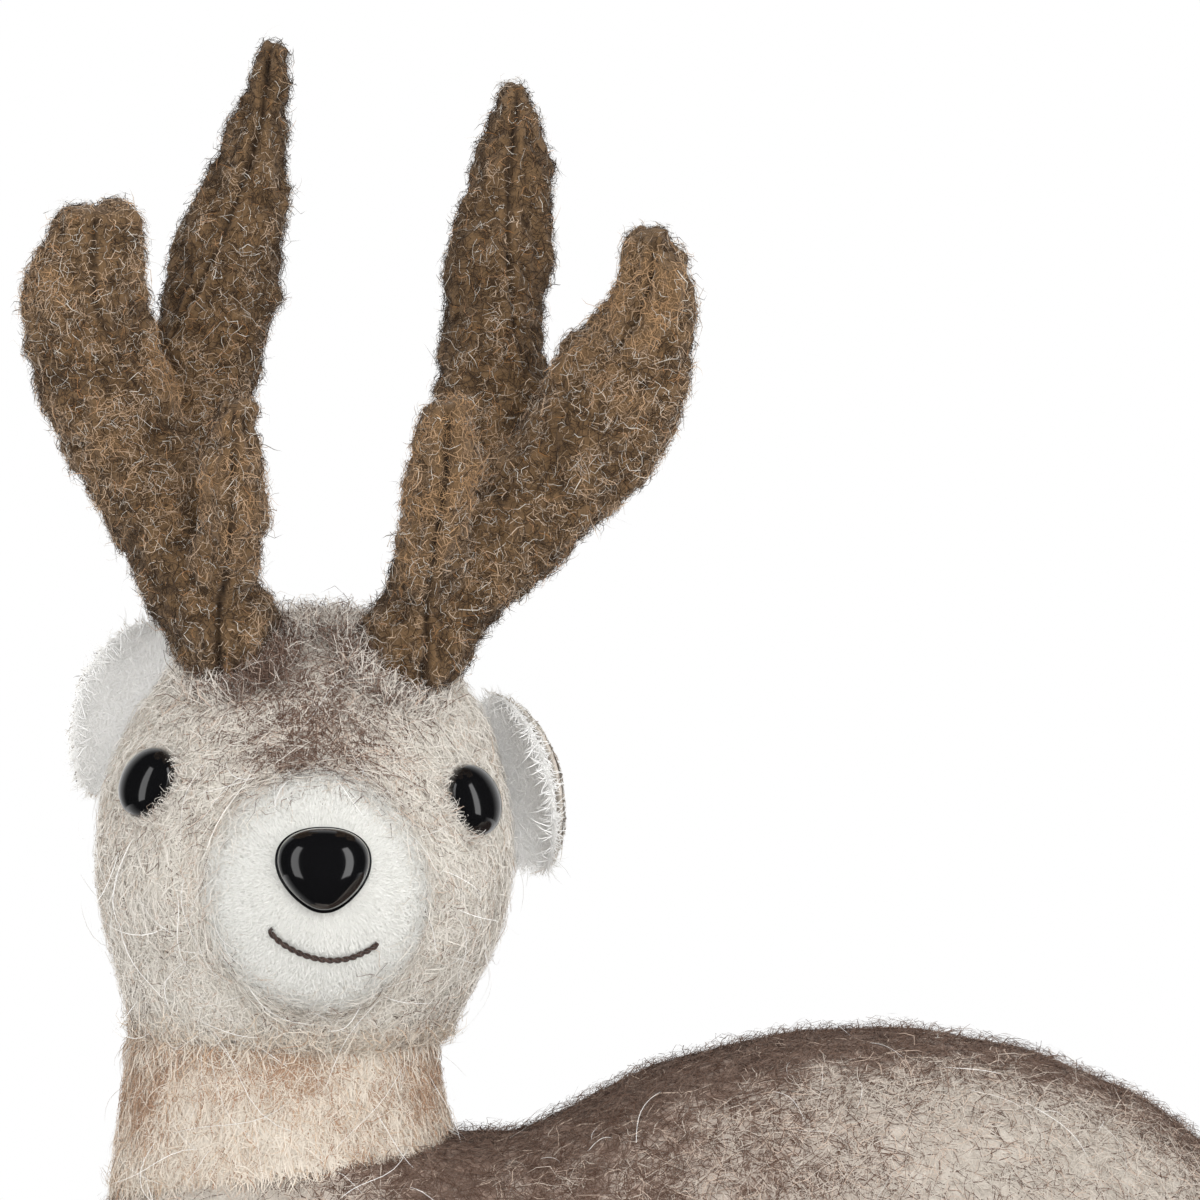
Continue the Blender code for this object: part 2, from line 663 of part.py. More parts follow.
def tube(name, points, radii, sides, tips=(0.0, 0.0), ahead=None):
    """Rings square to a path, or to one direction ahead, with each end flat or, with a
    tip, drawn out to a point. Each radius is a pair: across the path's side direction,
    and along the other one."""
    rings = []
    last = len(points) - 1
    for k, point in enumerate(points):
        along = ahead or (points[min(k + 1, last)] - points[max(k - 1, 0)]).normalized()
        side = Vector((0.0, 1.0, 0.0)).cross(along).normalized()
        other = along.cross(side)
        wide, deep = radii[k]
        rings.append([point + side * math.cos(math.tau * i / sides) * wide
                      + other * math.sin(math.tau * i / sides) * deep for i in range(sides)])
    first, final = tips
    if first:
        rings.insert(0, [points[0] + (points[0] - points[1]).normalized()
                         * first * radii[0][0]])
    if final:
        rings.append([points[-1] + (points[-1] - points[-2]).normalized()
                      * final * radii[-1][0]])
    return skin(name, rings)


def smooth_path(rows, steps):
    """Catmull-Rom curve through rows of numbers, with a few steps in each span."""
    dense = []
    last = len(rows) - 1
    for k in range(last):
        a, b, c, d = (rows[max(k - 1, 0)], rows[k], rows[k + 1], rows[min(k + 2, last)])
        for i in range(steps):
            t = i / steps
            dense.append([
                0.5 * (2 * q + (r - p) * t + (2 * p - 5 * q + 4 * r - s) * t * t
                       + (3 * q - p - 3 * r + s) * t ** 3)
                for p, q, r, s in zip(a, b, c, d)])
    dense.append(list(rows[last]))
    return dense


def antler_root(side):
    share, degrees = ANTLER_SEAT_SHARES[side]
    angle = math.radians(degrees)
    return head_point(share, angle) + head_normal(share, angle) * ROOT_STAND


def antler_axis(side, shares, steps):
    """Points and radii of one branch in metres, from its table of shares."""
    sign = -1 if side == "right" else 1
    root = antler_root(side)
    points = []
    radii = []
    for out, forward, up, wide, deep in smooth_path(shares, steps):
        points.append(root + Vector((sign * out, -forward, up)) * ANTLER_HEIGHT)
        radii.append((wide * ANTLER_HEIGHT, deep * ANTLER_HEIGHT))
    return points, radii


def antler_branches(side):
    return [BEAM_SHARES[side], REAR_TINE_SHARES[side], BROW_TINE_SHARES[side]]


def antler_form(side):
    """Beam, two tines and rounded root, joined."""
    beam, *tines = antler_branches(side)
    points, radii = antler_axis(side, beam, PATH_STEPS)
    form = tube("form", points, radii, TINE_SIDES, TIP_SHARES)
    others = []
    for tine in tines:
        points, radii = antler_axis(side, tine, PATH_STEPS)
        others.append(tube("tine", points, radii, TINE_SIDES, TIP_SHARES))
    others.append(ball("root", antler_root(side), ROOT_RADIUS))
    return boolean(form, others, "UNION")


def ball(name, centre, radius):
    bpy.ops.mesh.primitive_uv_sphere_add(segments=BALL_SIDES, ring_count=BALL_RINGS, radius=radius)
    made = bpy.context.object
    made.name = name
    made.data.transform(Matrix.Translation(centre))
    return made


def seam_sheet(side, shift, outward):
    """Block that ends at the sewing line of an antler's two panels. The sheet's place
    across is a mean of the branch axes near each point of the side view."""
    sign = -1 if side == "right" else 1
    samples = []
    for shares in antler_branches(side):
        points, _ = antler_axis(side, shares, SHEET_STEPS)
        samples.extend(points)
    root = antler_root(side)
    columns = SHEET_COLUMNS
    rows = SHEET_ROWS
    low, high = SHEET_HEIGHT_SHARES
    front, behind = SHEET_DEPTH_SHARES
    near = []
    far = []
    for r in range(rows + 1):
        z = root.z + ANTLER_HEIGHT * (low + (high - low) * r / rows)
        for c in range(columns + 1):
            y = root.y + ANTLER_HEIGHT * (front + (behind - front) * c / columns)
            total = 0.0
            across = 0.0
            for point in samples:
                apart = ((point.y - y) ** 2 + (point.z - z) ** 2) / ANTLER_HEIGHT ** 2
                weight = 1 / (apart + SHEET_BLUR_SHARE) ** 2
                total += weight
                across += weight * point.x
            x = across / total + sign * shift
            near.append(Vector((x, y, z)))
            far.append(Vector((x + sign * outward * ANTLER_HEIGHT, y, z)))
    bm = bmesh.new()
    fronts = [bm.verts.new(point) for point in near]
    backs = [bm.verts.new(point) for point in far]
    wide = columns + 1
    for r in range(rows):
        for c in range(columns):
            a = r * wide + c
            for half in ((a, a + 1, a + 1 + wide), (a, a + 1 + wide, a + wide)):
                bm.faces.new([fronts[i] for i in half])
                bm.faces.new([backs[i] for i in reversed(half)])
    edge = ([c for c in range(wide)] + [r * wide + columns for r in range(1, rows + 1)]
            + [rows * wide + c for c in range(columns - 1, -1, -1)]
            + [r * wide for r in range(rows - 1, 0, -1)])
    for a, b in zip(edge, edge[1:] + edge[:1]):
        bm.faces.new((fronts[a], backs[a], backs[b], fronts[b]))
    bmesh.ops.recalc_face_normals(bm, faces=bm.faces)
    mesh = bpy.data.meshes.new("sheet")
    bm.to_mesh(mesh)
    bm.free()
    return new_object("sheet", mesh)


def wire_form(side, radius, name):
    """One wire up the beam and one in each tine, joined where they are twisted."""
    beam, *tines = antler_branches(side)
    points, _ = antler_axis(side, beam, 1)
    path = points[:-1]
    form = tube(name, path, [(radius, radius)] * len(path), WIRE_SIDES, WIRE_TIP_SHARES)
    others = []
    for tine in tines:
        points, _ = antler_axis(side, tine, 1)
        join = nearest(antler_axis(side, beam, 1)[0], points[0])
        path = [join] + points[1:-1]
        others.append(tube("wire", path, [(radius, radius)] * len(path), WIRE_SIDES,
                           WIRE_TIP_SHARES))
    return boolean(form, others, "UNION")


def nearest(points, goal):
    return min(points, key=lambda point: (point - goal).length)


def antler(side):
    """Outer and inner felt panels with their padding, and the wire between them."""
    pieces = []
    for name, outward in (("outer", 1), ("inner", -1)):
        panel = antler_form(side)
        boolean(panel, [seam_sheet(side, outward * GAP / 2, outward)], "INTERSECT")
        boolean(panel, [wire_form(side, WIRE_DIAMETER / 2 + WIRE_SLACK, "channel")],
                "DIFFERENCE")
        panel.name = side + "_antler_" + name + "_panel"
        pieces.append(finish(panel, "antler_felt"))
    wire = wire_form(side, WIRE_DIAMETER / 2, side + "_antler_wire")
    pieces.append(finish(wire, "steel_wire"))
    return pieces


def ear_frame(side):
    """Frame of an ear: local X out across the leaf, local Y up it, local Z its face."""
    sign = -1 if side == "right" else 1
    share, degrees = EAR_SHARES[side]
    angle = math.radians(degrees)
    root = head_point(share, angle) + head_normal(share, angle) * SWING_GAP
    frame = (Matrix.Translation(root) @ Matrix.Rotation(-EAR_LEAN[side], 4, "Y")
             @ Matrix.Rotation(math.radians(90), 4, "X")
             @ Matrix.Rotation(EAR_TURN[side], 4, "Y"))
    return frame, sign


def ear_hinge(side):
    """Place and axis of an ear's hinge: its sewn inner edge. Plus folds it back."""
    frame, sign = ear_frame(side)
    inner = frame @ Vector((sign * (EAR_ACROSS_SHARES[side] * EAR_WIDTH - EAR_WIDTH / 2),
                            0.0, 0.0))
    return inner, frame.col[1].to_3d().normalized() * sign


def ear_rings(side, front, back):
    """Rings across a cupped leaf between two depths behind its face."""
    frame, sign = ear_frame(side)
    rings = []
    ends = []
    for along in (0.0, 1.0):
        ends.append([frame @ Vector((sign * EAR_ACROSS_SHARES[side] * EAR_WIDTH,
                                     (EAR_ROOT_SHARE - along) * EAR_LENGTH,
                                     -(front + back) / 2))])
    rings.append(ends[0])
    for along, share in EAR_HALF_WIDTH_SHARES:
        ring = []
        for layer, depth in ((1, front), (-1, back)):
            for i in range(EAR_COLUMNS):
                v = layer * (2 * i / (EAR_COLUMNS - 1) - 1)
                thin = 1.0 if abs(v) < 1 else EAR_EDGE_SHARE
                middle = (front + back) / 2
                z = -(middle + (depth - middle) * thin) + EAR_CUP * v * v
                ring.append(frame @ Vector((
                    sign * EAR_ACROSS_SHARES[side] * EAR_WIDTH + v * share * EAR_WIDTH / 2,
                    (EAR_ROOT_SHARE - along) * EAR_LENGTH, z * share)))
        rings.append(ring)
    rings.append(ends[1])
    return rings


def ear(side):
    """White pile lining in front and body cloth behind, both clear of the head."""
    pieces = []
    for name, front, back, finish_name in (
            ("lining", 0.0, EAR_PILE, "white_pile"),
            ("back", EAR_PILE + GAP, EAR_PILE + GAP + EAR_FELT, "cream_fur")):
        panel = skin(side + "_ear_" + name, ear_rings(side, front, back))
        boolean(panel, [head_guard(SWING_GAP)], "DIFFERENCE")
        pieces.append(finish(panel, finish_name))
    return pieces


def leg_place(x, y, z, flank):
    """Place from shares of the body; flank -1 is the left side, towards the face."""
    sway = BODY_SWAY * max(0.0, min(1.0, x))
    return Vector((x * BODY_REACH, flank * y * BODY_WIDTH / 2 + sway, z * BODY_HEIGHT))


def thigh(flank, name):
    rows = smooth_path(THIGH_SHARES, PATH_STEPS)
    points = [leg_place(x, y, z, flank) for x, y, z, _ in rows]
    radii = [(r * THIGH_RADIUS, r * THIGH_RADIUS) for *_, r in rows]
    return tube(name, points, radii, LIMB_SIDES, ROUND_TIP_SHARES)


def shank(flank, start_share, length, name, toe_in):
    """Lower leg lying on the table; it points along X, and toe_in turns it inward."""
    x, y = start_share
    start = leg_place(x, y, 0.0, flank)
    ahead = Vector((math.copysign(1.0, length), -flank * toe_in, 0.0)).normalized()
    points = []
    radii = []
    for share, size in SHANK_TAPER_SHARES:
        radius = size * SHANK_RADIUS
        points.append(start + ahead * share * abs(length)
                      + Vector((0.0, 0.0, radius - REST_CUT)))
        radii.append((radius, radius))
    leg = tube(name, points, radii, LIMB_SIDES, ANKLE_TIP_SHARES, ahead)
    return leg, points[-1], ahead


def hoof(name, ankle, ahead):
    points = []
    radii = []
    for share, size in HOOF_TAPER_SHARES:
        radius = size * HOOF_RADIUS
        place = ankle + ahead * (share * HOOF_LENGTH + GAP)
        place.z = radius - REST_CUT
        points.append(place)
        radii.append((radius, radius))
    return tube(name, points, radii, LIMB_SIDES, HOOF_TIP_SHARES, ahead)


def tail_form():
    """The tail, and its top, where it is sewn on."""
    x, z = TAIL_SEAT_SHARE
    seat = Vector((x * BODY_REACH, BODY_SWAY, z * BODY_HEIGHT))
    down = Vector((math.cos(TAIL_SLOPE), 0.0, -math.sin(TAIL_SLOPE)))
    points = [seat + down * share * TAIL_LENGTH for share, _ in TAIL_RING_SHARES]
    radii = [(size * TAIL_RADIUS * TAIL_FLATNESS_SHARE, size * TAIL_RADIUS)
             for _, size in TAIL_RING_SHARES]
    first, _ = ROUND_TIP_SHARES
    top = seat - down * first * radii[0][0]
    return tube("tail", points, radii, LIMB_SIDES, ROUND_TIP_SHARES), top


def body_guard(grow):
    """Cutter that stands clear of the body cover."""
    return skin("body_guard", offset_rings(body_rings(), grow, flat_start=True))


def build_body(whole):
    """Covers and stuffing of the body and the neck."""
    rings = body_rings()
    body_cover = press_flat(cup("body_cover", rings, FUR_CLOTH))
    inside = offset_rings(rings, -FUR_CLOTH - STUFFING_GAP, flat_start=True)
    body_stuffing = skin("body_stuffing", inside)
    rings = neck_rings()
    inner = offset_rings(rings, -FUR_CLOTH, flat_start=True, flat_end=True)
    neck_cover = skin("neck_cover", rings + list(reversed(inner)), wrap=True)
    core = offset_rings(rings, -FUR_CLOTH - STUFFING_GAP, flat_start=True, flat_end=True)
    neck_stuffing = skin("neck_stuffing", core)
    carry(whole, [finish(body_cover, "cream_fur"), finish(body_stuffing, "stuffing"),
                  finish(neck_cover, "cream_fur"), finish(neck_stuffing, "stuffing")])


def build_legs(whole):
    """Folded legs with their hooves, each clear of the body and of its own shank."""
    for flank, side in ((-1, "left"), (1, "right")):
        for end, start_share, length, toe_in in (
                ("fore", FORE_SHANK_SHARE, FORELEG_LENGTH, FORE_TOE_IN_SHARE),
                ("hind", HIND_SHANK_SHARE, -HINDLEG_LENGTH, HIND_TOE_IN_SHARE)):
            name = side + "_" + end
            lower, ankle, ahead = shank(flank, start_share, length, name + "_shank", toe_in)
            foot = hoof(name + "_hoof", ankle, ahead)
            if end == "fore":
                upper = thigh(flank, side + "_shoulder")
                boolean(lower, [body_guard(GAP)], "DIFFERENCE")
            else:
                upper = haunch_form(flank, side + "_haunch")
            guard, *_ = shank(flank, start_share, length, "guard", toe_in)
            swell(guard, GAP)
            boolean(upper, [body_guard(GAP), guard], "DIFFERENCE")
            carry(whole, [finish(press_flat(upper), "cream_fur"),
                          finish(press_flat(lower), "cream_fur"),
                          finish(press_flat(foot), "hoof_felt")])


def sockets():
    """Room round the rounded roots of the antlers."""
    return [ball("socket", antler_root(side), ROOT_RADIUS + SWING_GAP)
            for side in ("left", "right")]


def head_guard(grow):
    """Cutter that stands clear of the head cover."""
    return skin("head_guard", offset_rings(head_rings(), grow, flat_start=True))


def build_head(head_pivot):
    """Head with its eyes, and the muzzle with the nose and the mouth."""
    rings = head_rings()
    head_cover = cup("head_cover", rings, FUR_CLOTH)
    head_stuffing = skin("head_stuffing",
                         offset_rings(rings, -FUR_CLOTH - STUFFING_GAP, flat_start=True))
    boolean(head_cover, sockets(), "DIFFERENCE")
    boolean(head_stuffing, sockets(), "DIFFERENCE")
    pieces = []
    lining = head_guard(-FUR_CLOTH)
    for side in ("right", "left"):
        dome, frame = eye(side)
        depth = seat_depth(lining, frame)
        boolean(head_cover, [post_hole(frame)], "DIFFERENCE")
        boolean(head_stuffing, [washer_room(frame, depth)], "DIFFERENCE")
        lock = washer(side + "_eye_washer", frame, depth)
        pieces += [finish(dome, "black_gloss"), finish(lock, "washer_plastic")]
    bpy.data.objects.remove(lining)

    snout = muzzle_rings()
    form = skin("snout", snout)
    tree = surface_tree(form)
    bpy.data.objects.remove(form)
    muzzle_cover = cup("muzzle_cover", snout, PILE_CLOTH)
    muzzle_stuffing = skin("muzzle_stuffing",
                           offset_rings(snout, -PILE_CLOTH - STUFFING_GAP, flat_start=True))
    place, normal = face_hit(tree, 0.0, NOSE_RISE_SHARE)
    frame = aim(place + normal * NOSE_STAND, normal)
    lining = skin("lining", offset_rings(snout, -PILE_CLOTH, flat_start=True))
    depth = seat_depth(lining, frame)
    bpy.data.objects.remove(lining)
    boolean(muzzle_cover, [head_guard(GAP), post_hole(frame)], "DIFFERENCE")
    boolean(muzzle_stuffing, [head_guard(GAP), washer_room(frame, depth)], "DIFFERENCE")
    boolean(head_cover, [post_hole(frame)], "DIFFERENCE")
    boolean(head_stuffing, [post_hole(frame)], "DIFFERENCE")
    pieces += [finish(nose(frame), "black_gloss"),
               finish(washer("nose_washer", frame, depth), "washer_plastic"),
               finish(head_cover, "cream_fur"), finish(head_stuffing, "stuffing"),
               finish(muzzle_cover, "white_pile"), finish(muzzle_stuffing, "stuffing"),
               finish(smile(tree), "yarn")]
    carry(head_pivot, pieces)


def build():
    clear_scene()
    whole = pivot("deer_origin", Vector(), None)
    build_body(whole)
    build_legs(whole)
    head_pivot = pivot("head_pivot", Vector((0.0, NECK_LEAN, NECK_TOP_HEIGHT)), whole)
    build_head(head_pivot)
    for side in ("right", "left"):
        place, axis = ear_hinge(side)
        carry(pivot(side + "_ear_pivot", place, head_pivot, axis), ear(side))
        _, sign = ear_frame(side)
        carry(pivot(side + "_antler_pivot", antler_root(side), head_pivot,
                    Vector((0.0, sign, 0.0))), antler(side))
    tail, top = tail_form()
    boolean(tail, [body_guard(SWING_GAP)], "DIFFERENCE")
    carry(pivot("tail_pivot", top, whole, Vector((0.0, -1.0, 0.0))),
          [finish(tail, "cream_fur")])
    settle(whole)


def swell(piece, distance):
    """Move each point of a guard out along its normal."""
    bm = bmesh.new()
    bm.from_mesh(piece.data)
    bm.normal_update()
    for vert in bm.verts:
        vert.co += vert.normal * distance
    bm.to_mesh(piece.data)
    bm.free()


def haunch_form(flank, name):
    x, y, z = HAUNCH_SHARE
    bpy.ops.mesh.primitive_uv_sphere_add(segments=HAUNCH_SIDES, ring_count=HAUNCH_RINGS, radius=1)
    made = bpy.context.object
    made.name = name
    made.data.transform(Matrix.Diagonal((HAUNCH_LENGTH / 2, HAUNCH_WIDTH / 2,
                                         HAUNCH_HEIGHT / 2, 1.0)))
    made.data.transform(Matrix.Translation(leg_place(x, y, z, flank)))
    return made


def smile(tree):
    """Thick yarn laid on the muzzle in a smile."""
    points = []
    for across, up in smooth_path(SMILE_SHARES, PATH_STEPS):
        place, normal = face_hit(tree, across, up)
        points.append(place + normal * (YARN_DIAMETER / 2 + YARN_STAND))
    return tube("mouth_stitch", points, [(YARN_DIAMETER / 2,) * 2] * len(points), LIMB_SIDES,
                ROUND_TIP_SHARES)


def settle(whole):
    """Put the middle of the underside of the whole toy at the origin."""
    bpy.context.view_layer.update()
    low = Vector((math.inf,) * 3)
    high = -low
    for piece in bpy.data.objects:
        if piece.type != "MESH":
            continue
        for corner in piece.data.vertices:
            place = piece.matrix_world @ corner.co
            low = Vector(map(min, low, place))
            high = Vector(map(max, high, place))
    whole.location = Vector((-(low.x + high.x) / 2, -(low.y + high.y) / 2, -low.z))
    bpy.context.view_layer.update()
    for piece in bpy.data.objects:
        if piece.type == "EMPTY":
            place = [round(value, 5) for value in piece.matrix_world.translation]
            axis = [round(value, 5) for value in piece.matrix_world.col[2].to_3d()]
            print("axis of", piece.name, "at", place, "along", axis)


build()
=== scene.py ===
import math
import bpy
import numpy as np
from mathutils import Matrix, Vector


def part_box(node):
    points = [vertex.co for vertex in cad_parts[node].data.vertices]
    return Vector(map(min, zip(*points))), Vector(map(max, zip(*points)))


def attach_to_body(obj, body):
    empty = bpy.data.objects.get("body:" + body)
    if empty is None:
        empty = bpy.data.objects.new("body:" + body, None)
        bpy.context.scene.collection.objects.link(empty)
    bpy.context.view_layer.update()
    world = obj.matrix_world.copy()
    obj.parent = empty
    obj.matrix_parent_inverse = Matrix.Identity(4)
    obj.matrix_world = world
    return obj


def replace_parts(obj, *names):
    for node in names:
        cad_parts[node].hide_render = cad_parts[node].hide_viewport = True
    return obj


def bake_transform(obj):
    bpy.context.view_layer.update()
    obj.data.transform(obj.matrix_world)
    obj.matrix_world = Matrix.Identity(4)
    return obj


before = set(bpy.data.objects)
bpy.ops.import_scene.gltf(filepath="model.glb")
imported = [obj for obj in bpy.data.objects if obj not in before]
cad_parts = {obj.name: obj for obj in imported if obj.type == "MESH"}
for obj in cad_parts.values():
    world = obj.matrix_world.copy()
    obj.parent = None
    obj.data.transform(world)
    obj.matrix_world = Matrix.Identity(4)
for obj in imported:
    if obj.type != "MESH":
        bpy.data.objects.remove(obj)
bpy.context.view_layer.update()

scene = bpy.context.scene
sides = ("left", "right")       # the deer's own left and right
mm = 0.001
yAxis, zAxis = np.array([0.0, 1.0, 0.0]), np.array([0.0, 0.0, 1.0])
neckLow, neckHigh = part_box("neck_cover")
# Shapes are measured from the foot of the neck's axis.
neckFoot = np.array([(neckLow.x + neckHigh.x) / 2, (neckLow.y + neckHigh.y) / 2, 0.0])


def unit(vectors):
    # Each vector divided by its own length.
    return vectors / np.maximum(np.linalg.norm(vectors, axis=-1, keepdims=True), 1e-9)


def ease(values, low, high):
    # 0 below low, 1 above high and an S curve between them.
    part = np.clip((values - low) / (high - low), 0, 1)
    return part * part * (3 - 2 * part)


def bell(away, wide):
    # 1 at zero and fading both ways: e to minus the square of away / wide.
    return np.exp(-(away / wide) ** 2)


def distance(points, place):
    # How far each point is from one place.
    return np.linalg.norm(points - place, axis=1)


def fromNeck(points):
    # Across, back and up, in millimetres from the foot of the neck's axis.
    return ((points - neckFoot) / mm).T


def curveThrough(rows, where):
    # A smooth curve through rows, whose first column is the place along: between two rows each value
    # follows the cubic that has the mean slope of the neighbouring rows at its ends.
    rows = np.asarray(rows, float)
    along, values = rows[:, 0], rows[:, 1:]
    gap = np.diff(along)[:, None]
    slope = np.diff(values, axis=0) / gap
    slope = np.vstack([slope[:1], (slope[:-1] + slope[1:]) / 2, slope[-1:]])
    i = np.clip(np.searchsorted(along, where, side="right") - 1, 0, len(along) - 2)
    u = ((where - along[i]) / gap[i, 0])[:, None]
    return (values[i] * (1 + 2 * u) * (1 - u) ** 2 + gap[i] * slope[i] * u * (1 - u) ** 2
            + values[i + 1] * u * u * (3 - 2 * u) + gap[i] * slope[i + 1] * u * u * (u - 1))


def numbered(rows):
    # Rows with their own number, 0, 1, 2 and so on, as the place along.
    return np.column_stack([np.arange(len(rows)), np.asarray(rows, float)])


def straight(where, rows):
    # Straight lines between rows of place and value.
    return np.interp(where, *np.array(rows).T)


def allRound(count):
    # Even angles all round.
    return np.linspace(0, math.tau, count, endpoint=False)


def towardsEnd(last, count, closing, nearest, power):
    # Even row numbers, then ever closer ones from 1.5 rows before the last, so that the end closes roundly.
    return np.concatenate([np.linspace(0, last - 1.5, count),
                           last - 1.5 * np.linspace(1, nearest, closing)[1:] ** power])


def unitRing(angle, power):
    # The point at each angle where |x|^power + |y|^power is 1.
    c, s = np.cos(angle), np.sin(angle)
    reach = (np.abs(c) ** power + np.abs(s) ** power) ** (-1 / power)
    return c * reach, s * reach


def softNoise(points, size, seed):
    # Random values, -1 to 1, at the corners of cubes of this size, blended inside each by an S curve.
    lattice = np.random.default_rng(seed).uniform(-1, 1, (32, 32, 32))
    place = points / size
    cell = np.floor(place).astype(int)
    part = place - cell
    part = part * part * (3 - 2 * part)
    total = np.zeros(len(place))
    for corner in np.ndindex(2, 2, 2):
        weight = np.prod(np.where(np.array(corner) == 1, part, 1 - part), axis=1)
        x, y, z = ((cell + np.array(corner)) % 32).T
        total += weight * lattice[x, y, z]
    return total


def buildMesh(name, points, corners, sizes):
    # A mesh from its points, the corners of all faces in one row and each face's number of corners.
    mesh = bpy.data.meshes.new(name)
    mesh.vertices.add(len(points))
    mesh.vertices.foreach_set("co", np.ascontiguousarray(points, np.float32).ravel())
    mesh.loops.add(len(corners))
    mesh.loops.foreach_set("vertex_index", corners.astype(np.int32))
    starts = np.concatenate([[0], np.cumsum(sizes)[:-1]])
    mesh.polygons.add(len(sizes))
    mesh.polygons.foreach_set("loop_start", starts.astype(np.int32))
    mesh.update(calc_edges=True)
    return mesh


def addPiece(name, mesh):
    # A mesh as an object in the scene, at the origin.
    piece = bpy.data.objects.new(name, mesh)
    scene.collection.objects.link(piece)
    return piece


def closedForm(name, rings, first, last):
    # Rings of points joined row by row into quads, with a fan to one point at each end. Where the sum of
    # a . (b x c) over its triangles is negative it is inside out, so all corners are reversed.
    rows, columns = rings.shape[:2]
    points = np.concatenate([[first], rings.reshape(-1, 3), [last]])
    i = np.arange(columns)
    j = (i + 1) % columns
    start = 1 + columns * np.arange(rows - 1)[:, None]
    quads = np.stack([start + i, start + j, start + columns + j, start + columns + i], axis=2).reshape(-1, 4)
    end = 1 + columns * (rows - 1)
    fans = np.concatenate([np.column_stack([0 * i, 1 + j, 1 + i]),
                           np.column_stack([0 * i + len(points) - 1, end + i, end + j])])
    a, b, c = points[np.concatenate([quads[:, :3], quads[:, [0, 2, 3]], fans]).T]
    if np.einsum("ij,ij->", a, np.cross(b, c)) < 0:
        quads, fans = quads[:, ::-1], fans[:, ::-1]
    sizes = np.concatenate([np.full(len(quads), 4), np.full(len(fans), 3)])
    mesh = buildMesh(name, points + neckFoot, np.concatenate([quads.ravel(), fans.ravel()]), sizes)
    mesh.shade_smooth()
    return addPiece(name, mesh)


def sweepRings(path, radii, columns, tips):
    # Rings square to a path: an ellipse across y x direction, with two radii at each point. Each end closes
    # with a dome: rings at sin(a) of its height, tip times the end's radius, and cos(a) of the radius.
    ahead = unit(np.gradient(path, axis=0))
    a = np.linspace(0, math.pi / 2, 7)[1:-1, None]
    before, after = (ahead[end] * tips[end] * radii[end, 0] for end in (0, -1))
    first, last = path[0] - before, path[-1] + after
    path = np.concatenate([path[0] - before * np.sin(a[::-1]), path, path[-1] + after * np.sin(a)])
    ahead = np.concatenate([np.repeat(ahead[:1], len(a), 0), ahead, np.repeat(ahead[-1:], len(a), 0)])
    radii = np.concatenate([radii[:1] * np.cos(a[::-1]), radii, radii[-1:] * np.cos(a)])
    side = unit(np.cross(yAxis, ahead))
    other = np.cross(ahead, side)
    turn = allRound(columns)[None, :, None]
    rings = (path[:, None] + side[:, None] * (np.cos(turn) * radii[:, None, :1])
             + other[:, None] * (np.sin(turn) * radii[:, None, 1:]))
    return rings, first, last


def turned(radius, height, columns):
    # A profile carried round the z axis: radius cos, radius sin and height, a ring for each of its points.
    turn = allRound(columns)
    return np.stack([radius[:, None] * np.cos(turn), radius[:, None] * np.sin(turn),
                     np.repeat(height[:, None], columns, 1)], axis=2)


def makeBall(name, middle, size, rows, columns):
    # An ellipsoid: its height angle runs from pole to pole, its turn goes round.
    lift = np.linspace(-math.pi / 2, math.pi / 2, rows)[1:-1]
    ball = turned(np.cos(lift), np.sin(lift), columns)
    return closedForm(name, middle + ball * size, middle - zAxis * size[2], middle + zAxis * size[2])


def gridOf(surface, rows, columns):
    # The surface's points at each row number and at even angles all round.
    points = surface(np.repeat(rows, columns), np.tile(allRound(columns), len(rows)))
    return points.reshape(len(rows), columns, 3)


def join(pieces):
    # Several objects made one, under the first one's name.
    with bpy.context.temp_override(active_object=pieces[0], selected_editable_objects=pieces):
        bpy.ops.object.join()
    return pieces[0]


def applyModifiers(piece):
    # The mesh that the modifiers give takes the place of the piece's own.
    bpy.context.view_layer.update()
    shape = piece.evaluated_get(bpy.context.evaluated_depsgraph_get())
    mesh = bpy.data.meshes.new_from_object(shape)
    piece.modifiers.clear()
    old = piece.data
    piece.data = mesh
    bpy.data.meshes.remove(old)
    mesh.shade_smooth()
    return piece


def subdivide(piece, levels=1):
    # Each face is split in four and rounded, this many times.
    step = piece.modifiers.new("subdivide", "SUBSURF")
    step.levels = step.render_levels = levels
    return applyModifiers(piece)


def remesh(piece, voxel, smooth=0):
    # Even quads of one size over the whole form, then smoothed.
    step = piece.modifiers.new("remesh", "REMESH")
    step.mode = "VOXEL"
    step.voxel_size = voxel
    if smooth:
        step = piece.modifiers.new("smooth", "SMOOTH")
        step.iterations = smooth
        step.factor = 0.5
    return applyModifiers(piece)


def readVertices(piece, what):
    # One row of three numbers for each vertex.
    values = np.empty(len(piece.data.vertices) * 3, np.float32)
    piece.data.vertices.foreach_get(what, values)
    return values.reshape(-1, 3).astype(float)


def pointsOf(piece):
    # The places of its vertices.
    return readVertices(piece, "co")


def normalsOf(piece):
    # The normals of its vertices.
    return readVertices(piece, "normal")


def movePoints(piece, points):
    # The vertices take these places.
    piece.data.vertices.foreach_set("co", points.astype(np.float32).ravel())
    piece.data.update()


def liftToTable(piece):
    # Nothing ends below the table.
    points = pointsOf(piece)
    points[:, 2] = np.maximum(points[:, 2], 0)
    movePoints(piece, points)


def addLumps(piece, height, size, seed):
    # Uneven stuffing: each point moves along its normal by a soft noise of this height and size.
    points = pointsOf(piece)
    movePoints(piece, points + normalsOf(piece) * (softNoise(points, size, seed) * height)[:, None])


def setShare(mesh, name, values):
    # A number for each point that the materials read by its name.
    share = mesh.attributes.new(name, "FLOAT", "POINT")
    share.data.foreach_set("value", np.ascontiguousarray(values, np.float32))


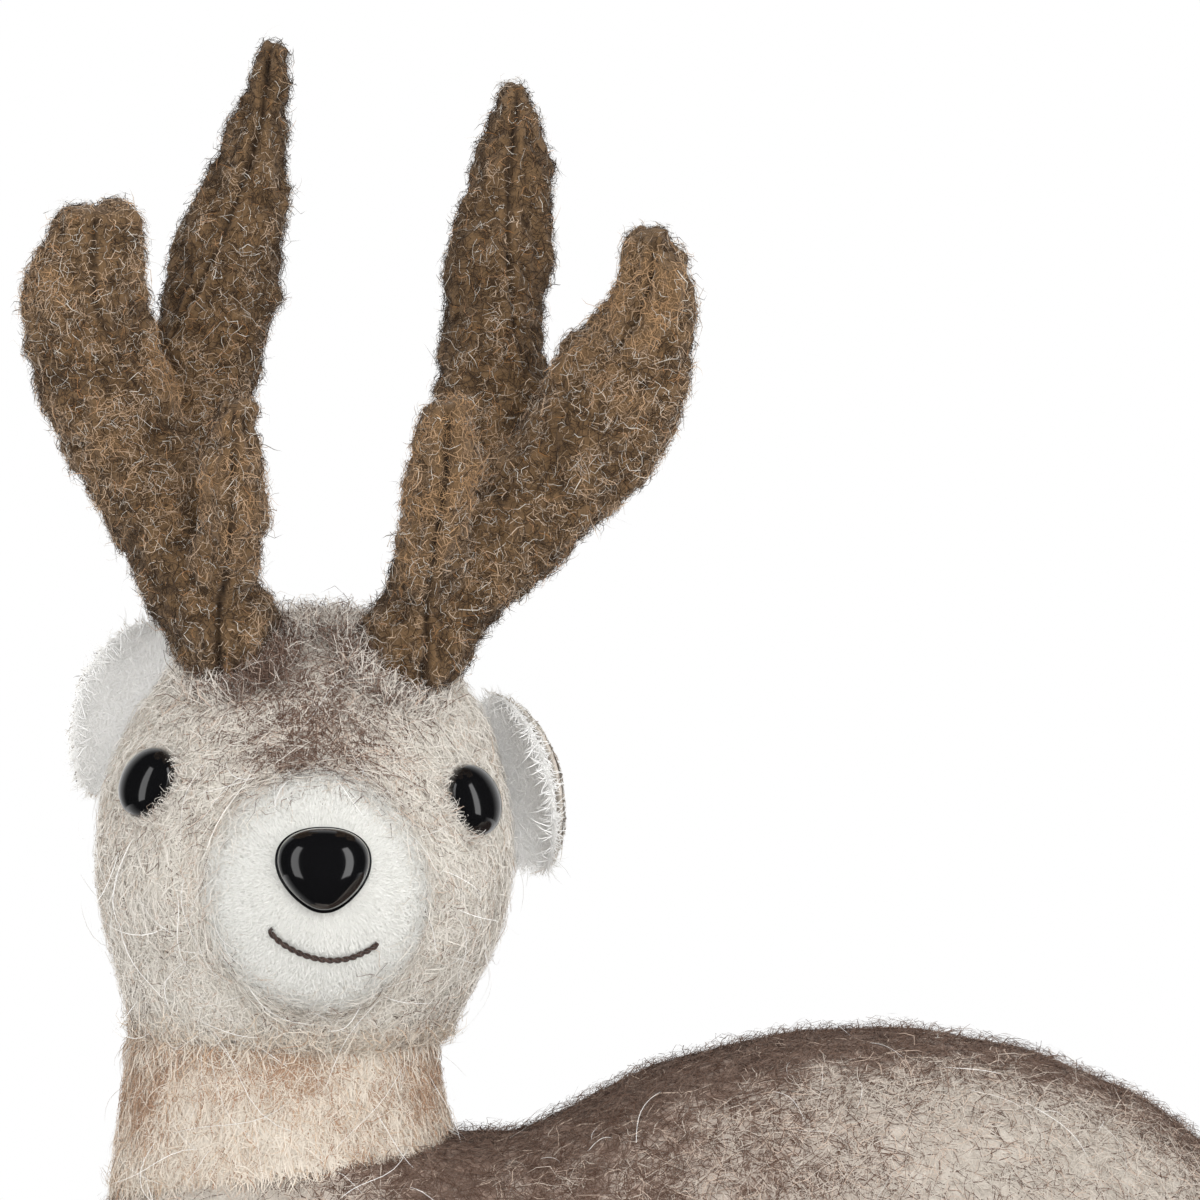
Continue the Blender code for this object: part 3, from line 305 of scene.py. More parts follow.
body = {
    "reach": 0.202, "height": 0.118, "width": 0.098, "sway": 0.012, "fullness": 2.15,
    "neckWide": 0.065, "neckDeep": 0.061, "neckBack": 0.831, "neckChest": 0.746,
    "neckTopWide": 0.0575, "neckTopDeep": 0.056, "neckTop": 0.1172, "neckLean": 0.0015, "columns": 96,
    # back x, back z, belly x, belly z, half width, sway: shares of reach, height, half width and sway
    "rings": ((0.168, 0.833, -0.203, 0.542, 0.72, 0.04), (0.186, 0.834, -0.203, 0.339, 0.80, 0.09),
              (0.203, 0.835, -0.139, 0.136, 0.86, 0.14), (0.228, 0.839, 0.010, 0.014, 0.88, 0.20),
              (0.282, 0.881, 0.188, 0.0, 0.90, 0.28), (0.376, 0.952, 0.366, 0.0, 0.94, 0.40),
              (0.515, 1.0, 0.535, 0.0, 0.99, 0.55), (0.653, 0.987, 0.683, 0.0, 1.0, 0.70),
              (0.762, 0.932, 0.812, 0.042, 0.90, 0.82), (0.847, 0.856, 0.911, 0.153, 0.74, 0.90),
              (0.916, 0.737, 0.970, 0.314, 0.52, 0.96), (0.960, 0.619, 0.990, 0.441, 0.28, 1.0)),
    "tip": (1.0, 0.525), "lump": 0.6 * mm, "lumpSize": 12 * mm,
}


def slantedRings(back, belly, halfWidth, sway, power):
    # Rings from a point on the back to one on the belly: middle + tall * c + width * s of a superellipse.
    c, s = unitRing(allRound(body["columns"]), power)
    middle = (back + belly) / 2 + sway[:, None] * yAxis
    tall = (back - belly) / 2
    wide = (halfWidth[:, None] * s[None])[:, :, None]
    return middle[:, None] + tall[:, None] * c[None, :, None] + yAxis * wide


def makeBody():
    # The ring table, with the neck seam before and the rump's tip after it, as a smooth curve of its
    # number.
    reach, height = body["reach"], body["height"]
    seam = (body["neckWide"] / 2 / reach, body["neckBack"], -body["neckWide"] / 2 / reach, body["neckChest"],
            body["neckDeep"] / body["width"], 0.0)
    tip = (*body["tip"], *body["tip"], 0.0, 1.0)
    rows, where = numbered((seam, *body["rings"], tip)), towardsEnd(13, 76, 16, 0.06, 1.6)
    backX, backZ, bellyX, bellyZ, wide, sway = curveThrough(rows, where).T
    back = np.column_stack([backX * reach, 0 * backX, backZ * height])
    belly = np.column_stack([bellyX * reach, 0 * bellyX, bellyZ * height])
    rings = slantedRings(back, belly, wide * body["width"] / 2, sway * body["sway"], body["fullness"])
    rings[:, :, 2] = np.maximum(rings[:, :, 2], 0)
    front = np.array([0.0, 0.0, (body["neckBack"] + body["neckChest"]) / 2 * height])
    rump = np.array([body["tip"][0] * reach, body["sway"], body["tip"][1] * height])
    return closedForm("bodyCloth", rings, front, rump)


def neckRing(wide, deep, back, chest, lean):
    # One round ring between a height at the back and one at the chest.
    return slantedRings(np.array([[wide / 2, 0, back]]), np.array([[-wide / 2, 0, chest]]),
                        np.array([deep / 2]), np.array([lean]), 2)


def makeNeck():
    # From the slanted seam on the body to the flat one under the chin: low (1 - part) + high part.
    height, top = body["height"], body["neckTop"]
    back, chest = body["neckBack"] * height, body["neckChest"] * height
    low = neckRing(body["neckWide"], body["neckDeep"], back, chest, 0.0)
    high = neckRing(body["neckTopWide"], body["neckTopDeep"], top, top, body["neckLean"])
    part = np.linspace(0, 1, 24)[:, None, None]
    return closedForm("neckCloth", low * (1 - part) + high * part, low[0].mean(0), high[0].mean(0))


head = {
    "width": 0.0772, "height": 0.0809, "depth": 0.074, "offset": 0.004, "yaw": math.radians(5.5),
    "base": body["neckTop"] + 0.3 * mm, "bulge": 0.012, "bulgeSpread": math.radians(33),
    "bulgeHeight": 0.360, "bulgeTall": 0.200, "lump": 0.45 * mm, "lumpSize": 15 * mm,
    # height, half width, depth in front, depth behind, drift: shares of the head's height and half sizes
    "rings": ((0.000, 0.760, 0.760, 0.760, -0.070), (0.104, 0.847, 0.840, 0.820, -0.030),
              (0.221, 0.940, 0.930, 0.900, 0.000), (0.337, 0.990, 0.980, 0.960, 0.000),
              (0.454, 1.000, 0.990, 1.000, 0.000), (0.571, 0.977, 0.950, 1.000, 0.010),
              (0.687, 0.904, 0.870, 0.950, 0.023), (0.805, 0.772, 0.735, 0.830, 0.039),
              (0.897, 0.610, 0.580, 0.670, 0.047), (0.962, 0.385, 0.365, 0.420, 0.060),
              (0.991, 0.190, 0.180, 0.205, 0.064), (1.000, 0.000, 0.000, 0.000, 0.065)),
}


def headSurface(rowNumber, angle):
    # Half sizes from the ring table at a row number, x = sin(angle) width, y = -cos(angle) depth, both
    # pushed out by a bell-shaped bulge round the middle of the face.
    height, width, front, behind, drift = curveThrough(numbered(head["rings"]), rowNumber).T
    depth = np.where(np.cos(angle) > 0, front, behind)
    away = (np.mod(angle - head["yaw"] + math.pi, math.tau) - math.pi) / head["bulgeSpread"]
    rise = (height - head["bulgeHeight"]) / head["bulgeTall"]
    bulge = head["bulge"] * np.exp(-(away * away + rise * rise) / 2)
    x = np.sin(angle) * (width * head["width"] / 2 + bulge) + drift * head["width"] / 2 + head["offset"]
    y = -np.cos(angle) * (depth * head["depth"] / 2 + bulge) + body["neckLean"]
    return np.stack([x, y, head["base"] + height * head["height"]], axis=-1)


def headSpot(heightShare, degrees):
    # A point on the head's skin and its normal: the cross product of small steps around and up.
    heights, numbers = [row[0] for row in head["rings"]], np.arange(len(head["rings"]))
    angle = math.radians(degrees)
    step = 0.01

    def at(share, turn):
        # The skin's point at a share of its height.
        return headSurface(np.array([np.interp(share, heights, numbers)]), np.array([turn]))[0]

    around = at(heightShare, angle + step) - at(heightShare, angle - step)
    upward = at(heightShare + step, angle) - at(heightShare - step, angle)
    return at(heightShare, angle), unit(np.cross(around, upward))


def makeHead():
    # The head's surface from its flat base to the crown.
    grid = gridOf(headSurface, towardsEnd(11, 60, 14, 0.05, 1.5), 120)
    crown = headSurface(np.array([11.0]), np.array([0.0]))[0]
    return closedForm("headCloth", grid, grid[0].mean(0), crown)


muzzle = {
    "width": 0.0416, "height": 0.0446, "reach": 0.061, "edge": (0.82, 0.99), "lump": 0.25 * mm,
    "lumpSize": 9 * mm,
    # distance in reaches from the head's middle, size in half sizes
    "rings": ((0.520, 1.080), (0.610, 1.050), (0.690, 0.985), (0.770, 0.880), (0.850, 0.725), (0.920, 0.525),
              (0.970, 0.310), (1.0, 0.0)),
}
faceAhead = np.array([math.sin(head["yaw"]), -math.cos(head["yaw"]), 0.0])
faceAcross = np.array([math.cos(head["yaw"]), math.sin(head["yaw"]), 0.0])
muzzleMiddle = np.array([head["offset"], body["neckLean"],
                         head["base"] + head["bulgeHeight"] * head["height"]])
muzzleTip = muzzleMiddle + faceAhead * muzzle["reach"]


def muzzleSurface(rowNumber, angle):
    # An ellipse across the facing direction whose size follows the ring table.
    away, size = curveThrough(numbered(muzzle["rings"]), rowNumber).T
    return (muzzleMiddle + faceAhead * (away * muzzle["reach"])[:, None]
            + faceAcross * (np.cos(angle) * size * muzzle["width"] / 2)[:, None]
            + zAxis * (np.sin(angle) * size * muzzle["height"] / 2)[:, None])


def muzzleSpot(across, rise):
    # Place and normal on the muzzle at shares of its half width and half height: the row number whose
    # ellipse passes through them is looked up by their radius.
    angle, radius, step = np.arctan2(rise, across), np.hypot(rise, across), 0.02
    rows = np.linspace(0, 7, 1401)
    sizes = curveThrough(numbered(muzzle["rings"]), rows)[:, 1]
    row = np.interp(radius, sizes[::-1], rows[::-1])
    around = muzzleSurface(row, angle + step) - muzzleSurface(row, angle - step)
    along = muzzleSurface(row + step, angle) - muzzleSurface(row - step, angle)
    return muzzleSurface(row, angle), unit(np.cross(around, along))


def makeMuzzle():
    # The muzzle's surface from inside the head to its tip.
    grid = gridOf(muzzleSurface, towardsEnd(7, 40, 14, 0.05, 1.5), 96)
    return closedForm("muzzlePile", grid, grid[0].mean(0), muzzleTip)


legs = {
    "thighRadius": 0.017, "shankRadius": 0.010, "hoofLength": 0.0175, "hoofRadius": 0.0088,
    "pressed": 0.5 * mm,
    # x, y, z and radius down the upper fore leg; places are shares of the body's reach, half width, height
    "thigh": ((0.100, 0.62, 0.500, 1.04), (0.030, 0.76, 0.425, 1.12), (-0.060, 0.86, 0.310, 0.88),
              (-0.155, 0.84, 0.205, 0.64)),
    "haunch": (0.088, 0.050, 0.084), "haunchPlace": (0.725, 0.78, 0.385),
    # each lower leg: x, y, toe-in, and its length along X
    "Fore": (-0.205, 0.80, -0.02, 0.066), "Hind": (0.930, 1.0, 0.01, -0.078),
    "shankTaper": ((0.0, 0.72), (0.12, 1.0), (0.45, 0.93), (0.8, 0.80), (1.0, 0.78)),
    "hoofTaper": ((0.0, 0.86), (0.3, 1.0), (0.68, 0.92), (0.92, 0.62)),
    "cleftDeep": 1.6 * mm, "cleftBack": 1.2 * mm, "cleftWide": 0.9 * mm, "cleftFrom": (0.35, 0.9),
    "cleftAbove": (0.3, 1.2),
}


def legPlace(x, y, z, flank):
    # Shares of the body; the flank is -1 on the side that the face looks to.
    sway = body["sway"] * np.clip(x, 0, 1)
    return np.stack([x * body["reach"], flank * y * body["width"] / 2 + sway, z * body["height"]], axis=-1)


def makeShoulder(name, flank):
    # A tube down the upper fore leg's own points, with its radius from the same table.
    x, y, z, size = curveThrough(numbered(legs["thigh"]), np.linspace(0, 3, 30)).T
    radii = np.repeat(size[:, None] * legs["thighRadius"], 2, axis=1)
    return closedForm(name, *sweepRings(legPlace(x, y, z, flank), radii, 48, (0.6, 0.6)))


def lowerLeg(place, taper, size, share, flank):
    # Start, direction, length, radius and lift of a lower leg that lies along X, turned in a little.
    x, y, toeIn, length = place
    ahead = unit(np.array([math.copysign(1.0, length), -flank * toeIn, 0.0]))
    radius = curveThrough(taper, share)[:, 0] * size
    return legPlace(x, y, 0.0, flank), ahead, abs(length), radius, zAxis * (radius - legs["pressed"])[:, None]


def makeShank(name, place, flank):
    # A tapered tube that rests on the table.
    share = np.linspace(0, 1, 30)
    taper, size = legs["shankTaper"], legs["shankRadius"]
    start, ahead, length, radius, lift = lowerLeg(place, taper, size, share, flank)
    path = start + ahead * (share * length)[:, None] + lift
    return closedForm(name, *sweepRings(path, np.repeat(radius[:, None], 2, 1), 40, (0.5, 0.1)))


def makeHoof(name, place, flank):
    # A blunt toe with a cleft: near the middle plane the front is drawn back in a narrow groove.
    share, toe, wide = np.linspace(0, 0.92, 24), legs["hoofLength"], legs["hoofRadius"]
    start, ahead, length, radius, lift = lowerLeg(place, legs["hoofTaper"], wide, share, flank)
    ankle = start + ahead * length
    path = ankle + ahead * (share * toe + 0.3 * mm)[:, None] + lift
    rings, first, last = sweepRings(path, np.repeat(radius[:, None], 2, 1), 64, (0.0, 0.4))
    front = ease((rings - ankle) @ ahead, *(share * toe for share in legs["cleftFrom"]))
    above = ease(rings[:, :, 2], *(share * wide for share in legs["cleftAbove"]))
    groove = bell((rings - ankle) @ np.cross(ahead, zAxis), legs["cleftWide"]) * front
    rings[:, :, 2] -= legs["cleftDeep"] * groove * above
    rings = rings - ahead * (legs["cleftBack"] * groove)[:, :, None]
    return closedForm(name, rings, first, last - ahead * legs["cleftBack"])


def makeHaunch(name, flank):
    # An ellipsoid against the flank.
    return makeBall(name, legPlace(*legs["haunchPlace"], flank), np.array(legs["haunch"]) / 2, 42, 72)


tail = {
    "length": 0.036, "radius": 0.009, "seat": (0.972, 0.665), "slope": math.radians(58), "flatness": 0.8,
    "rings": ((0.0, 0.55), (0.18, 0.86), (0.45, 1.0), (0.72, 0.84), (0.92, 0.5)),
}


def makeTail():
    # A flattened tube straight down the slope from its seat on the rump.
    share = np.linspace(0, 0.92, 26)
    size = curveThrough(tail["rings"], share)[:, 0] * tail["radius"]
    seat = np.array([tail["seat"][0] * body["reach"], body["sway"], tail["seat"][1] * body["height"]])
    down = np.array([math.cos(tail["slope"]), 0.0, -math.sin(tail["slope"])])
    path = seat + down * (share * tail["length"])[:, None]
    radii = np.column_stack([size * tail["flatness"], size])
    return closedForm("tailCloth", *sweepRings(path, radii, 40, (0.6, 0.6)))


ears = {
    "length": 0.0345, "width": 0.0185, "cup": 0.0035, "pile": 0.003, "felt": 0.0022, "root": 0.24,
    "gap": 0.6 * mm, "between": 0.3 * mm, "squareness": 3.2,
    "right": {"sign": -1, "seat": (0.845, -104.0), "lean": math.radians(-20), "turn": math.radians(10),
              "across": 0.37},
    "left": {"sign": 1, "seat": (0.690, 106.0), "lean": math.radians(17), "turn": math.radians(-40),
             "across": 0.28},
    "halfWidth": ((0.0, 0.10), (0.08, 0.50), (0.2, 0.78), (0.36, 0.97), (0.52, 1.0), (0.7, 0.86),
                  (0.85, 0.62), (0.95, 0.34), (1.0, 0.05)),
}


def turnAbout(axis, angle):
    # The matrix of a turn about x or y.
    c, s = math.cos(angle), math.sin(angle)
    if axis == "x":
        return np.array([[1, 0, 0], [0, c, -s], [0, s, c]])
    return np.array([[c, 0, s], [0, 1, 0], [-s, 0, c]])


def earFrame(side):
    # An ear's seat on the head and its axes: the leaf stands up, turns about its length and leans sideways.
    leaf = ears[side]
    place, normal = headSpot(*leaf["seat"])
    axes = turnAbout("y", -leaf["lean"]) @ turnAbout("x", math.pi / 2) @ turnAbout("y", leaf["turn"])
    return place + normal * ears["gap"], axes


def makeEarLayer(name, side, front, behind):
    # Rings across a leaf: v = cos(a) goes over its width and sin(a) through its thickness, with a round
    # rim; the leaf is cupped by v squared, and its width follows the table along its length.
    root, axes = earFrame(side)
    shift = ears[side]["sign"] * ears[side]["across"] * ears["width"]
    along = np.linspace(0.012, 0.988, 60)[:, None]
    share = curveThrough(ears["halfWidth"], along[:, 0])
    v, through = unitRing(allRound(48)[None], ears["squareness"])
    middle, half = (front + behind) / 2, (behind - front) / 2
    x = shift + v * share * ears["width"] / 2
    y = np.repeat((ears["root"] - along) * ears["length"], 48, 1)
    z = (-(middle - half * through) + ears["cup"] * v * v) * share
    first, last = (root + axes @ np.array([shift, (ears["root"] - end) * ears["length"], -middle * 0.1])
                   for end in (0.0, 1.0))
    return closedForm(name, root + np.stack([x, y, z], axis=2) @ axes.T, first, last)


antlers = {
    "height": 0.118, "rootSize": 0.0088, "rootStand": 0.004, "voxel": 0.8 * mm, "bump": 1.05 * mm,
    "bumpSize": 3.6 * mm, "seamDepth": 1.1 * mm, "seamWide": 0.50 * mm, "lipHeight": 0.8 * mm,
    "lipWide": 0.9 * mm, "lipAway": 1.7 * mm, "tips": (0.3, 0.6, 0.5), "fine": (0.6, 2.3),
    "wide": (1.1, 2.4), "wander": (0.5 * mm, 5 * mm, 44), "foreTurn": (0.25, 0.7), "crest": (0.8, 0.4, 0.9),
    "nearest": 0.0004,
    # beam, rear tine and brow tine: out, forward, up, and the two radii, in antler heights
    "right": {"sign": -1, "seat": (0.905, -38.0), "branches": (
        ((0.0, 0.0, 0.0, 0.086, 0.080), (0.050, -0.020, 0.085, 0.082, 0.085),
         (0.108, -0.040, 0.215, 0.090, 0.095), (0.160, -0.040, 0.320, 0.098, 0.096),
         (0.212, -0.010, 0.430, 0.102, 0.088), (0.228, 0.030, 0.535, 0.098, 0.080),
         (0.218, 0.060, 0.620, 0.084, 0.068), (0.208, 0.078, 0.675, 0.062, 0.050)),
        ((0.095, -0.060, 0.200, 0.066, 0.064), (0.074, -0.110, 0.350, 0.088, 0.072),
         (0.028, -0.165, 0.520, 0.088, 0.078), (-0.008, -0.190, 0.680, 0.076, 0.072),
         (-0.042, -0.200, 0.820, 0.047, 0.054), (-0.064, -0.205, 0.958, 0.018, 0.024)),
        ((0.010, 0.020, 0.075, 0.056, 0.050), (-0.008, 0.105, 0.180, 0.052, 0.054),
         (-0.014, 0.150, 0.290, 0.048, 0.050), (-0.022, 0.172, 0.365, 0.032, 0.034)))},
    "left": {"sign": 1, "seat": (0.885, 44.0), "branches": (
        ((0.0, 0.0, 0.0, 0.084, 0.080), (0.066, -0.020, 0.088, 0.084, 0.085),
         (0.150, -0.040, 0.185, 0.094, 0.094), (0.244, -0.040, 0.285, 0.102, 0.094),
         (0.324, -0.010, 0.400, 0.106, 0.086), (0.380, 0.030, 0.515, 0.080, 0.074),
         (0.396, 0.055, 0.600, 0.056, 0.058), (0.386, 0.070, 0.660, 0.036, 0.038)),
        ((0.150, -0.060, 0.210, 0.066, 0.064), (0.138, -0.115, 0.340, 0.086, 0.072),
         (0.134, -0.165, 0.490, 0.082, 0.078), (0.142, -0.190, 0.640, 0.078, 0.074),
         (0.160, -0.200, 0.780, 0.060, 0.062), (0.172, -0.205, 0.905, 0.024, 0.030)),
        ((0.020, 0.020, 0.070, 0.058, 0.050), (0.040, 0.105, 0.170, 0.056, 0.054),
         (0.062, 0.150, 0.290, 0.052, 0.050), (0.062, 0.172, 0.370, 0.034, 0.034)))},
}


def rootOf(side):
    # The middle of an antler's root: just outside the head's skin.
    place, normal = headSpot(*antlers[side]["seat"])
    return place + normal * antlers["rootStand"]


def branchPath(side, rows, count):
    # A branch's axis and its two radii, as smooth curves through its table, from the root's centre.
    out, forward, rise, wide, deep = curveThrough(numbered(rows), np.linspace(0, len(rows) - 1, count)).T
    path = rootOf(side) + np.column_stack([antlers[side]["sign"] * out, -forward, rise]) * antlers["height"]
    return path, np.column_stack([wide, deep]) * antlers["height"]


def seamAway(side, points):
    # How far each point is across from the sewing line. The line stands at the mean of the branch axes' x,
    # weighted by 1 / squared distance, squared, in the side view, and wanders by a small noise.
    axes = np.concatenate([branchPath(side, rows, 28)[0] for rows in antlers[side]["branches"]]) + neckFoot
    apart = (((points[:, None, 1:] - axes[None, :, 1:]) / antlers["height"]) ** 2).sum(2)
    weight = 1 / (apart + antlers["nearest"]) ** 2
    sway, size, seed = antlers["wander"]
    line = (weight * axes[:, 0]).sum(1) / weight.sum(1) + sway * softNoise(points, size, seed)
    return np.abs(points[:, 0] - line)


def foreOrAft(normals):
    # 1 where the skin faces fore or aft, where the sewing line shows, and 0 where it faces sideways.
    return ease(1 - np.abs(normals[:, 0]), *antlers["foreTurn"])


def feltNoise(points):
    # The felt's bumps: one soft noise plus a share of a finer one.
    (share, finer), size = antlers["fine"], antlers["bumpSize"]
    return softNoise(points, size, 5) + share * softNoise(points, size / finer, 6)


def makeAntler(side):
    # Three tubes and a ball, remeshed into one skin. The felt's bumps are noises along the normal; at the
    # sewing line it is drawn in by a narrow bell curve, and a wider one lifts a lip on each side of it.
    parts = [closedForm("branch", *sweepRings(*branchPath(side, rows, 34), 40, (0.55, tip)))
             for rows, tip in zip(antlers[side]["branches"], antlers["tips"])]
    parts.append(makeBall("branch", rootOf(side), np.full(3, antlers["rootSize"]), 18, 32))
    piece = join(parts)
    piece.name = piece.data.name = side + "AntlerFelt"
    remesh(piece, antlers["voxel"], smooth=3)
    points, normals = pointsOf(piece), normalsOf(piece)
    away = seamAway(side, points)
    flat, *steep = antlers["crest"]
    edge = foreOrAft(normals) * (1 - flat * ease(normals[:, 2], *steep))
    seam = bell(away, antlers["seamWide"]) * edge
    lip = bell(away - antlers["lipAway"], antlers["lipWide"]) * edge
    share, wider = antlers["wide"]
    rough = feltNoise(points) + share * softNoise(points, antlers["bumpSize"] * wider, 7)
    height = rough * antlers["bump"] * (1 - seam) + lip * antlers["lipHeight"] - seam * antlers["seamDepth"]
    movePoints(piece, points + normals * height[:, None])
    return piece, seam


print("forms")
bodyCloth, neckCloth = makeBody(), makeNeck()
headCloth, muzzlePile = makeHead(), makeMuzzle()
tailCloth = makeTail()
limbs, earLayers, antlerFelt, antlerSeam = {}, {}, {}, {}
for flank, side in ((-1, "left"), (1, "right")):
    limbs[side + "Shoulder"] = makeShoulder(side + "Shoulder", flank)
    limbs[side + "Haunch"] = makeHaunch(side + "Haunch", flank)
    for part, maker in (("Shank", makeShank), ("Hoof", makeHoof)):
        for pair in ("Fore", "Hind"):
            limbs[side + pair + part] = maker(side + pair + part, legs[pair], flank)
for side in sides:
    rear = ears["pile"] + ears["between"]
    earLayers[side + "EarLining"] = makeEarLayer(side + "EarLining", side, 0.0, ears["pile"])
    earLayers[side + "EarBack"] = makeEarLayer(side + "EarBack", side, rear, rear + ears["felt"])
for side in sides:
    antlerFelt[side], antlerSeam[side] = makeAntler(side)

plump = {
    "voxel": 4.5 * mm, "frames": 20, "pressure": 4.0, "quality": 6, "bodyCap": 2.0 * mm, "limbCap": 1.2 * mm,
    "filling": 0.6, "fillingSwing": 0.4, "fillingSize": 26 * mm, "neckSeam": 0.093,
    "neckHeld": (34 * mm, 42 * mm), "bellyHeld": 4 * mm, "tableHeld": 3 * mm, "flankHeld": (26 * mm, 34 * mm),
}


def weigh(piece, name, weights):
    # A vertex group in eight steps of weight.
    group = piece.vertex_groups.new(name=name)
    level = np.clip(np.round(weights * 8), 0, 8).astype(int)
    for step in range(1, 9):
        group.add(np.nonzero(level == step)[0].tolist(), step / 8, "REPLACE")
    return name


def addCloth(piece, points, held):
    # Cloth without weight, blown up from inside by an uneven filling, with its sewn edges held.
    cloth = piece.modifiers.new("cloth", "CLOTH")
    cloth.settings.quality = plump["quality"]
    cloth.settings.use_pressure = True
    cloth.settings.uniform_pressure_force = plump["pressure"]
    cloth.settings.effector_weights.gravity = 0
    cloth.settings.vertex_group_mass = weigh(piece, "held", held(points))
    filling = plump["filling"] + plump["fillingSwing"] * softNoise(points, plump["fillingSize"], 11)
    cloth.settings.vertex_group_pressure = weigh(piece, "filling", filling)
    cloth.point_cache.frame_end = plump["frames"]


def fillOut(stuffed):
    # Each form is blown up as cloth, no point further from its start than the cap, and then split finer.
    starts = {}
    for piece, cap, held in stuffed:
        remesh(piece, plump["voxel"])
        starts[piece.name] = pointsOf(piece)
        addCloth(piece, starts[piece.name], held)
    for number in range(1, plump["frames"] + 1):
        scene.frame_set(number)
    for piece, cap, held in stuffed:
        applyModifiers(piece)
        start = starts[piece.name]
        moved = pointsOf(piece) - start
        moved *= np.minimum(1, cap / np.maximum(np.linalg.norm(moved, axis=1, keepdims=True), 1e-9))
        movePoints(piece, start + moved)
        liftToTable(piece)
        subdivide(piece)
        liftToTable(piece)
    scene.frame_set(1)


def bodyHeld(points):
    # Held at the neck seam and along the belly's middle line.
    away = distance(points, neckFoot + [0, 0, plump["neckSeam"]])
    return np.maximum(1 - ease(away, *plump["neckHeld"]), 1 - ease(points[:, 2], 0, plump["bellyHeld"]))


def limbHeld(points):
    # Held where it lies on the table and where it meets the body.
    inward = np.abs(points[:, 1] - neckFoot[1])
    return np.maximum(1 - ease(points[:, 2], 0, plump["tableHeld"]), 1 - ease(inward, *plump["flankHeld"]))


thick = [limbs[side + part] for side in sides for part in ("Haunch", "Shoulder")]
fillOut([(bodyCloth, plump["bodyCap"], bodyHeld), *((piece, plump["limbCap"], limbHeld) for piece in thick)])
furred = [bodyCloth, *(piece for name, piece in limbs.items() if "Hoof" not in name), tailCloth]
for pieces, look, seed in ((furred, body, 21), ([headCloth], head, 22), ([neckCloth], body, 23),
                           ([muzzlePile], muzzle, 24)):
    for piece in pieces:
        addLumps(piece, look["lump"], look["lumpSize"], seed)
for piece in (bodyCloth, *limbs.values()):
    liftToTable(piece)
print("stuffing done")

# How brown the coat is, 0 to 1, with painted shade and light on the antlers' felt. Places are in millimetres
# from the foot of the neck's axis.
coat = {
    # across, height, size and strength of the brown marks on the forehead, the cheeks and the throat
    "forehead": ((-4, 186, 7, 0.20), (6, 178, 6.5, 0.60), (9, 185, 6, 0.24), (3, 171.5, 4.5, 0.50),
                 (14, 175, 5, 0.30), (18, 171, 4.5, 0.22), (11, 193, 6, 0.12), (-9, 180, 5, 0.14),
                 (5, 201, 7, 0.14)),
    "cheeks": ((-25, 120, 4, 0.14), (26, 120, 4, 0.14), (3, 121, 4, 0.10), (-27, 158, 5, 0.10),
               (-20, 140, 5, 0.07), (-14, 170, 5, 0.07), (25, 160, 5, 0.07), (27, 142, 5, 0.08),
               (26, 180, 4, 0.05), (-17, 186, 5, 0.06)),
    "throat": ((-25, 110, 5.5, 0.60), (26, 109, 5.5, 0.55), (3, 115, 4.5, 0.45), (-10, 116, 5, 0.35),
               (-29, 98, 5, 0.25), (14, 103, 4, 0.15), (-8, 90, 5, 0.18)),
    # middle, half width, strength, and where it starts and is full towards the back
    "headNape": (6, 15, 0.75, 4, 26), "neckNape": (3, 18, 0.8, 0, 22),
    # along the body: how brown its upper flank is, its ridge's height, and how brown the ridge's band is
    "flank": ((-40, 0.0), (18, 0.75), (32, 0.95), (56, 0.84), (80, 0.66), (100, 0.46), (122, 0.17),
              (160, 0.08), (210, 0.20)),
    "ridge": ((20, 98), (34, 98), (50, 104), (76, 112), (104, 118), (132, 116.5), (154, 110), (171, 101),
              (185, 87), (194, 73)),
    "band": ((100, 1.2), (150, 0.75), (210, 0.8)), "bandWide": 5.5, "saddle": (24, 52), "chest": (-10, 22),
    # the forehead's streaks: strength, slant and size, and the heights from which they and the whole start
    "streak": 0.10, "streakSlant": (1.6, 0.6, 0.35), "streakSize": 6, "streakFrom": (138, 160),
    "headFrom": (120, 150), "headFade": 14, "tailLine": (196, 0.625, 78), "tailBrown": (0.15, 0.7),
    # the trace of brown that is left everywhere
    "headTrace": 0.015, "neckTrace": 0.02, "bodyTrace": 0.04, "farTrace": 0.032, "limbTrace": (0.004, 0.03),
    "earTrace": 0.22,
    # the felt: mean share, how dark the painted shade in its hollows is, then strength, size and seed of its
    # patches
    "feltMean": 0.54, "feltHollow": 0.50, "feltWide": (0.42, 13 * mm, 41), "feltFine": (0.16, 1.6 * mm, 43),
    # strength, and where it starts and is full: painted shade behind, painted light in front and painted
    # shade towards the root
    "feltBehind": (0.55, -18 * mm, 6 * mm), "feltFront": (0.18, 22 * mm, 34 * mm),
    "feltRoot": (0.42, 196 * mm, 216 * mm),
    # size, depth and seed of the patchiness
    "head": (5 * mm, 0.5, 31), "neck": (6 * mm, 0.8, 33), "body": (4.5 * mm, 0.45, 35),
    "limb": (7 * mm, 0.6, 37), "ear": (5 * mm, 0.5, 38), "tail": (5 * mm, 0.4, 39),
}


def blots(x, z, rows):
    # The sum of bell curves, each with its own place, size and strength.
    return sum(strength * np.exp(-((x - middle) ** 2 + (z - height) ** 2) / (2 * size * size))
               for middle, height, size, strength in rows)


def mottled(share, points, part):
    # A share made patchy by two soft noises.
    size, depth, seed = coat[part]
    noise = softNoise(points, size, seed) + 0.6 * softNoise(points, size / 2.6, seed + 1)
    return np.clip(share * (1 + depth * noise), 0, 1)


def napeBrown(x, y, part):
    # A stripe down the back of the head or neck, a bell curve across.
    middle, wide, strength, start, full = coat[part]
    return bell(x - middle, wide) * strength * ease(y, start, full)


